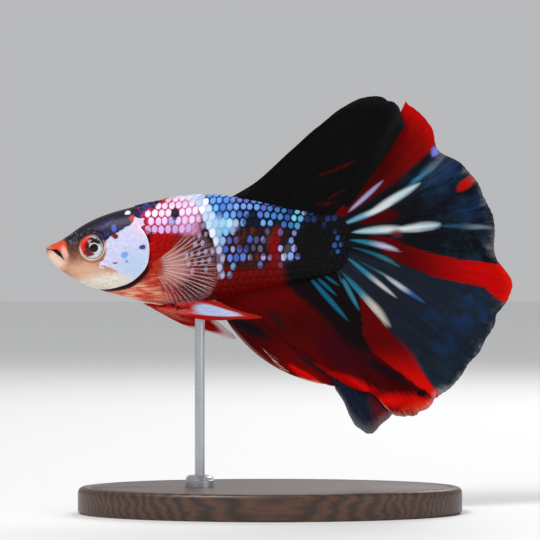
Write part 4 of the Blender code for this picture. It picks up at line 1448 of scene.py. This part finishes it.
# red on the upper rays, on a band across the middle and on the lowest rays
upper = step_of(u, 0.145, 0.118)
upper_red = over(rgb(84, 2, 2), rgb(138, 3, 2), step_of(v, 0.45, 0.95))
colour = paint(
    colour,
    (over(upper_red, FIN_BRIGHT, step_of(v, 0.84, 1.1)), upper),
    (rgb(72, 1, 3), streak(spot, 0.255, 0.1, 0.29, 0.42, 0.06)[0]),
)
band_top = above_line(
    at,
    (
        (14.5, 42.6), (16.5, 42.0), (19.2, 41.2), (23.0, 39.6), (26.9, 38.7), (30.8, 38.0), (34.3, 37.6),
        (37.0, 37.6),
    ),
    0.18,
)
band_foot = above_line(
    at,
    (
        (14.5, 41.6), (17.2, 39.4), (19.2, 38.1), (23.0, 36.5), (26.9, 35.2), (30.8, 34.5), (32.7, 34.0),
        (33.4, 33.0), (34.8, 32.2), (37.0, 31.6),
    ),
    0.18,
)
middle_band = but(both(band_foot, step_of(v, 0.12, 0.26)), band_top)
band_red = over(rgb(84, 1, 2), rgb(190, 2, 2), step_of(v, 0.36, 0.88))
band_red = over(band_red, rgb(228, 34, 10), step_of(v, 0.93, 1.04))
colour = paint(
    colour,
    (band_red, middle_band),
    (rgb(196, 8, 4), blot(at, 29.8, 49.8, 1.45, 0.75, 38, soft=0.4)),
)
lower_edge = u - step_of(v, 0.62, 1.0) * 0.045
lower = both(step_of(lower_edge, 0.915, 0.94), step_of(v, 0.16, 0.3))
colour = over(colour, over(rgb(86, 1, 2), rgb(206, 4, 3), step_of(v, 0.45, 0.92)), lower)

# pale, lilac and teal streaks along the rays, out of the root
place = object_place(tree)
colour = stroke(
    colour, place,
    (11.7, 45.3, 17.3, 50.4, 0.44, STREAK_LILAC, STREAK_LILAC),
    (10.8, 43.5, 18.8, 46.8, 0.52, rgb(110, 170, 194), STREAK_WHITE),
    (14.4, 44.8, 23.0, 50.0, 0.72, STREAK_WHITE, rgb(190, 212, 222)),
    (11.4, 38.8, 19.4, 32.3, 0.46, STREAK_TEAL, rgb(190, 190, 190)),
    (13.2, 38.2, 20.2, 34.4, 0.26, rgb(30, 74, 92), rgb(96, 122, 134)),
    (17.2, 35.9, 23.8, 31.5, 0.46, rgb(190, 196, 204), rgb(44, 86, 148)),
)
colour = stroke(
    colour, spot,
    (0.184, 0.56, 0.176, 1.02, 0.012, rgb(46, 116, 146), rgb(80, 98, 108)),
    (0.350, 0.04, 0.400, 0.42, 0.042, rgb(176, 212, 220), STREAK_WHITE),
    (0.397, 0.31, 0.403, 0.66, 0.030, STREAK_WHITE, rgb(186, 208, 220)),
    (0.410, 0.62, 0.450, 1.02, 0.014, rgb(36, 76, 104), rgb(112, 130, 138)),
    (0.455, 0.02, 0.560, 0.36, 0.034, STREAK_TEAL, rgb(186, 184, 214)),
    (0.560, 0.03, 0.665, 0.34, 0.024, rgb(24, 84, 100), rgb(58, 112, 122)),
    (0.900, 0.00, 0.914, 0.48, 0.021, STREAK_TEAL, rgb(222, 214, 200)),
    (0.968, 0.00, 0.986, 0.28, 0.020, rgb(34, 122, 142), rgb(26, 100, 122)),
)
colour = paint(
    colour,
    (rgb(104, 38, 48), blot(place, 19.2, 42.25, 0.8, 0.55, soft=0.9) * 0.9),
    (rgb(126, 124, 226), blot(spot, 0.148, 0.97, 0.012, 0.04, soft=0.5)),
)
finish_fin(tree, shader, colour, fray, ray)
margin = v + (noise(at, 0.5, 3.0) - 0.5) * 0.25
edge = but(step_of(margin, 0.92, 1.06), larger(upper, middle_band))
feed(shader, Alpha=1.0 - edge * 0.5)
tail.data.materials.append(finish)
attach(tail, "root")
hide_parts("tail_fin")


# ---------------------------------------------------------------------------- the paired fins
# The pectoral fins are clear fans on forked, flesh-pink rays, held out from the flank. The pelvic fins
# trail under the belly: narrow, pointed and red, with a few stout rays and a pale patch on the left one.
PECTORAL_ROOT = ((-16.9, 38.2), (-16.7, 37.0), (-16.9, 35.8))
PECTORAL_TIPS = (
    (-12.6, 42.3), (-10.0, 42.1), (-8.3, 40.4), (-7.6, 38.0), (-7.6, 35.6), (-8.4, 33.3), (-10.4, 31.9),
    (-13.0, 31.2), (-15.4, 31.9),
)
PELVIC_ROOT = ((-15.3, 31.6), (-16.9, 31.2), (-18.7, 31.4))
LEFT_PELVIC_TIPS = ((-7.6, 31.95), (-4.2, 30.5), (-0.9, 29.6), (-4.6, 29.2), (-9.0, 29.05))
RIGHT_PELVIC_TIPS = ((-9.8, 29.9), (-7.4, 28.4), (-5.0, 26.1), (-8.8, 27.0), (-11.8, 27.7))
HINGE_OUT, FAN_SLOPE, FAN_BELLY = 4.5, 0.3, 0.25  # from the middle plane, and how the fan leads off it
PELVIC_OUT, PELVIC_SPREAD, PELVIC_TWIST = 1.9, 1.5, 0.3  # from the middle plane, along and across the fin

# pale bony rays in a clear skin, reddish at the root
clear_finish, tree, shader, u, v, at, fray, ray = fin_material("pectoral_skin", Roughness=0.35)
bone = over(rgb(250, 214, 196), rgb(226, 184, 190), step_of(v, 0.2, 0.9))
colour = paint(
    rgb(214, 170, 170),
    (bone, step_of(ray, 0.1, 0.6)),
    (rgb(200, 66, 46), step_of(v, 0.15, 0.02)),
)
haze = (0.03 + blot(join(u, v), 0.4, 0.24, 0.4, 0.2, soft=0.9) * 0.46) * step_of(fray, 0.1, 0.65)
strong = step_of(noise(join(u * 14.0, 0.0), 1.0, 2.0), 0.38, 0.6)
on_ray = both(
    step_of(ray, 0.4, 1.0),
    0.84 - v * 0.56,
    1.0 - step_of(u, 0.58, 0.82) * 0.5,
    0.6 + strong * 0.4,
    step_of(v, 1.0, 0.93),
)
seen = larger(larger(haze, on_ray), step_of(v, 0.13, 0.0) * 0.55)
feed(shader, Base_Color=colour, Alpha=seen)
bump(shader, fray, 0.02, 0.5)

# red, mottled at the root, with a pale blue patch on the left fin and a pale tip on the right one
pelvic_finish, tree, shader, u, v, at, fray, ray = fin_material("pelvic_skin", Roughness=0.4)
spot = join(u, v)
pale_root = both(blot(spot, 0.75, 0.3, 0.25, 0.22, soft=0.5), step_of(fray, 0.44, 0.62))
on_left = step_of(split(object_place(tree))[1], 0.5, -0.5)
patch = over(rgb(150, 186, 232), rgb(226, 226, 244), step_of(fray, 0.4, 0.6))
tips = step_of(v, 0.74, 0.88)
colour = paint(
    rgb(196, 10, 6),
    (rgb(120, 4, 5), step_of(fray, 0.45, 0.7)),
    (rgb(222, 160, 140), pale_root * 0.75),
    (rgb(70, 4, 6), both(step_of(v, 0.45, 0.2), step_of(noise(at, 0.8, 3.0), 0.5, 0.6))),
    (patch, both(blot(spot, 0.42, 0.6, 0.3, 0.24, soft=0.25), on_left)),
    (rgb(252, 222, 222), but(tips, on_left)),
    (rgb(168, 30, 22), both(tips, on_left)),
)
finish_fin(tree, shader, colour, fray, ray)

for side, word in ((-1, "left"), (1, "right")):
    hinge_x, hinge_z = PECTORAL_ROOT[1]

    def fan(x, z, u, v, side=side):
        reach = np.hypot(x - hinge_x, z - hinge_z)
        belly = FAN_BELLY * np.sin(math.pi * np.maximum(v, 0))
        return side * (HINGE_OUT + FAN_SLOPE * reach * np.sign(v) + belly + ripple(u, v, 0.25, 2.0, 1.0))

    pectoral = make_fin(
        f"pectoral_{word}", PECTORAL_ROOT, PECTORAL_TIPS, (-0.05, 0.0, 0.08), fan, 12, (0.3, 0.07),
        sunk=0.09, rows=80, ragged=0.03, ray_height=0.05,
    )
    pectoral.data.materials.append(clear_finish)
    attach(pectoral, "root")
    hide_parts(f"pectoral_fin_{word}")

    def trail(x, z, u, v, side=side):
        spread = PELVIC_SPREAD * np.sin(0.5 * math.pi * np.minimum(1.0, 1.4 * v))
        return side * (PELVIC_OUT + spread + PELVIC_TWIST * u)

    pelvic = make_fin(
        f"pelvic_{word}", PELVIC_ROOT, LEFT_PELVIC_TIPS if side < 0 else RIGHT_PELVIC_TIPS,
        (0.03, 0.0, -0.02), trail, 6, (0.45, 0.14), forks=(0.45, 0.75), sunk=0.08, rows=90,
        ragged=0.06, ray_height=0.09,
    )
    pelvic.data.materials.append(pelvic_finish)
    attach(pelvic, "root")
    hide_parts(f"pelvic_fin_{word}")


# ---------------------------------------------------------------------------- the stand
# A turned oval foot of dark oiled hardwood, a thin brushed steel rod let into it and up into the belly,
# and a chamfered steel collar that covers the hole in the wood.
OVAL_SIDES = 160
base_low, base_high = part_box("stand_base")
rod_low, rod_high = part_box("stand_rod")
collar_low, collar_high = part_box("stand_collar")
rod_x = (rod_low.x + rod_high.x) / 2 / MM


def turned(name, profile, x=0.0, stretch=1.0, sides=OVAL_SIDES):
    """A turned solid from a profile of (radius, height), with its first and last point on the axis."""
    turn = np.linspace(0, 2 * math.pi, sides, endpoint=False)
    rings = [
        np.stack((x + radius * np.cos(turn), radius * stretch * np.sin(turn), np.full(sides, z)), -1)
        for radius, z in profile[1:-1]
    ]
    piece = lofted(name, np.array(rings), [(x, 0.0, profile[0][1]), (x, 0.0, profile[-1][1])])
    piece.data.set_sharp_from_angle(angle=math.radians(40))
    return piece


half_length, height = (base_high.x - base_low.x) / 2 / MM, base_high.z / MM
ROUNDING, ROUNDING_STEPS, FOOT_CHAMFER, GROOVE_DEPTH = 0.9, 9, 0.4, 0.12
corner_turn = np.linspace(0, math.pi / 2, ROUNDING_STEPS)[1:]
corner = [(half_length - ROUNDING * (1 - math.cos(a)), ROUNDING * math.sin(a)) for a in corner_turn]
profile = [(0.0, 0.0), (half_length - FOOT_CHAMFER, 0.0)]
profile += [(half_length, FOOT_CHAMFER), (half_length, height - ROUNDING)]
profile += [(r, height - ROUNDING + rise) for r, rise in corner]
GROOVE = ((1.6, 0.0), (1.75, GROOVE_DEPTH), (1.95, GROOVE_DEPTH), (2.1, 0.0))  # way in, and depth
profile += [(half_length - inward, height - depth) for inward, depth in GROOVE]
profile += [(half_length * 0.5, height), (0.0, height)]
wooden = turned("stand_foot", profile, stretch=(base_high.y - base_low.y) / (base_high.x - base_low.x))
finish, tree, shader = new_material("dark_wood", Roughness=0.36, Coat_Weight=0.2, Coat_Roughness=0.2)
place = object_place(tree)
stretched = put("Mapping", {"Vector": place, "Scale": (0.045, 0.5, 0.5)})
years = put(
    "TexWave",
    {"Vector": stretched, "Scale": 0.9, "Distortion": 7.0, "Detail": 3.0, "Detail Scale": 1.2},
    out="Fac",
    wave_type="RINGS",
    rings_direction="X",
)
pores_place = put("Mapping", {"Vector": place, "Scale": (0.35, 6.0, 6.0)})
pores = noise(pores_place, 1.0, 3.0, 0.7)
wood = over(rgb(48, 30, 22), rgb(86, 54, 36), years)
wood = over(wood, rgb(26, 16, 12), step_of(pores, 0.56, 0.72))
feed(shader, Base_Color=wood, Roughness=0.3 + pores * 0.22)
bump(shader, years - pores, 0.05, 0.4)
wooden.data.materials.append(finish)
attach(wooden, "root")
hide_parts("stand_base")

ROD_CHAMFER, ROD_SIDES, COLLAR_SIDES = 0.25, 48, 64
rod_radius, rod_foot, rod_top = (rod_high.x - rod_low.x) / 2 / MM, rod_low.z / MM, rod_high.z / MM
rod_profile = [(0.0, rod_foot), (rod_radius, rod_foot), (rod_radius, rod_top - ROD_CHAMFER)]
rod_profile += [(rod_radius - ROD_CHAMFER, rod_top), (0.0, rod_top)]
rod = turned("stand_shaft", rod_profile, rod_x, sides=ROD_SIDES)
COLLAR_SINK, COLLAR_PLAY, BORE_CHAMFER = 0.05, 0.05, 0.12  # into the wood, round the rod, at its bore
COLLAR_STEP = ((0.0, 0.7), (0.12, 0.6), (0.12, 0.35), (0.5, 0.0))  # way in, and way down
collar_radius, top = (collar_high.x - collar_low.x) / 2 / MM, collar_high.z / MM
foot, bore_top = height - COLLAR_SINK, top - BORE_CHAMFER
collar_profile = [(0.0, foot), (collar_radius, foot)]
collar_profile += [(collar_radius - inward, top - down) for inward, down in COLLAR_STEP]
collar_profile += [(rod_radius + BORE_CHAMFER, top), (rod_radius + COLLAR_PLAY, bore_top), (0.0, bore_top)]
collar = turned("stand_ring", collar_profile, rod_x, sides=COLLAR_SIDES)
finish, tree, shader = new_material("brushed_steel", Metallic=1.0)
place = object_place(tree)
brushed = noise(put("Mapping", {"Vector": place, "Scale": (0.6, 0.6, 14.0)}), 1.0, 3.0, 0.7)
metal = over(rgb(168, 170, 174), rgb(206, 208, 212), brushed)
feed(shader, Base_Color=metal, Roughness=0.2 + brushed * 0.22)
bump(shader, brushed, 0.01, 0.5)
for piece, node in ((rod, "stand_rod"), (collar, "stand_collar")):
    piece.data.materials.append(finish)
    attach(piece, "root")
    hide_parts(node)


# ---------------------------------------------------------------------------- floor, light and camera
# A pale floor under a pale sky, one broad key light high on the fish's left, a weak fill and a rim light.
FLOOR_HALF, CAMERA_BACK, CAMERA_HEIGHT, LENS = 3000.0, -450.0, 36.68, 198.7


def soft_light(name, at, size, power, aim=(0.0, 0.0, 0.038)):
    lamp = bpy.data.lights.new(name, "AREA")
    lamp.energy = power
    lamp.size = size
    made = bpy.data.objects.new(name, lamp)
    made.location = at
    made.rotation_euler = (Vector(aim) - Vector(at)).to_track_quat("-Z", "Y").to_euler()
    bpy.context.scene.collection.objects.link(made)


floor = mesh_piece(
    "floor",
    [(sx * FLOOR_HALF, sy * FLOOR_HALF, 0.0) for sx, sy in ((-1, -1), (1, -1), (1, 1), (-1, 1))],
    [(0, 1, 2, 3)],
)
finish, _, _ = new_material("pale_floor", Roughness=0.75, Base_Color=(0.90, 0.90, 0.89, 1.0))
floor.data.materials.append(finish)
soft_light("key", (-0.20, -0.34, 0.50), 0.20, 2.0)
soft_light("fill", (0.42, -0.36, 0.16), 0.40, 0.35)
soft_light("rim", (0.15, 0.42, 0.40), 0.30, 1.2)
world = bpy.data.worlds.new("pale_sky")
world.use_nodes = True
sky = world.node_tree.nodes["Background"]
sky.inputs["Color"].default_value = (0.93, 0.94, 0.96, 1.0)
sky.inputs["Strength"].default_value = 0.52
bpy.context.scene.world = world
bpy.context.scene.view_settings.view_transform = "Standard"

camera = bpy.data.objects.new("camera", bpy.data.cameras.new("camera"))
camera.data.lens = LENS
camera.data.sensor_width = 36.0
camera.location = (0.0, CAMERA_BACK * MM, CAMERA_HEIGHT * MM)
camera.rotation_euler = (math.radians(90), 0.0, 0.0)
bpy.context.scene.collection.objects.link(camera)
bpy.context.scene.camera = camera
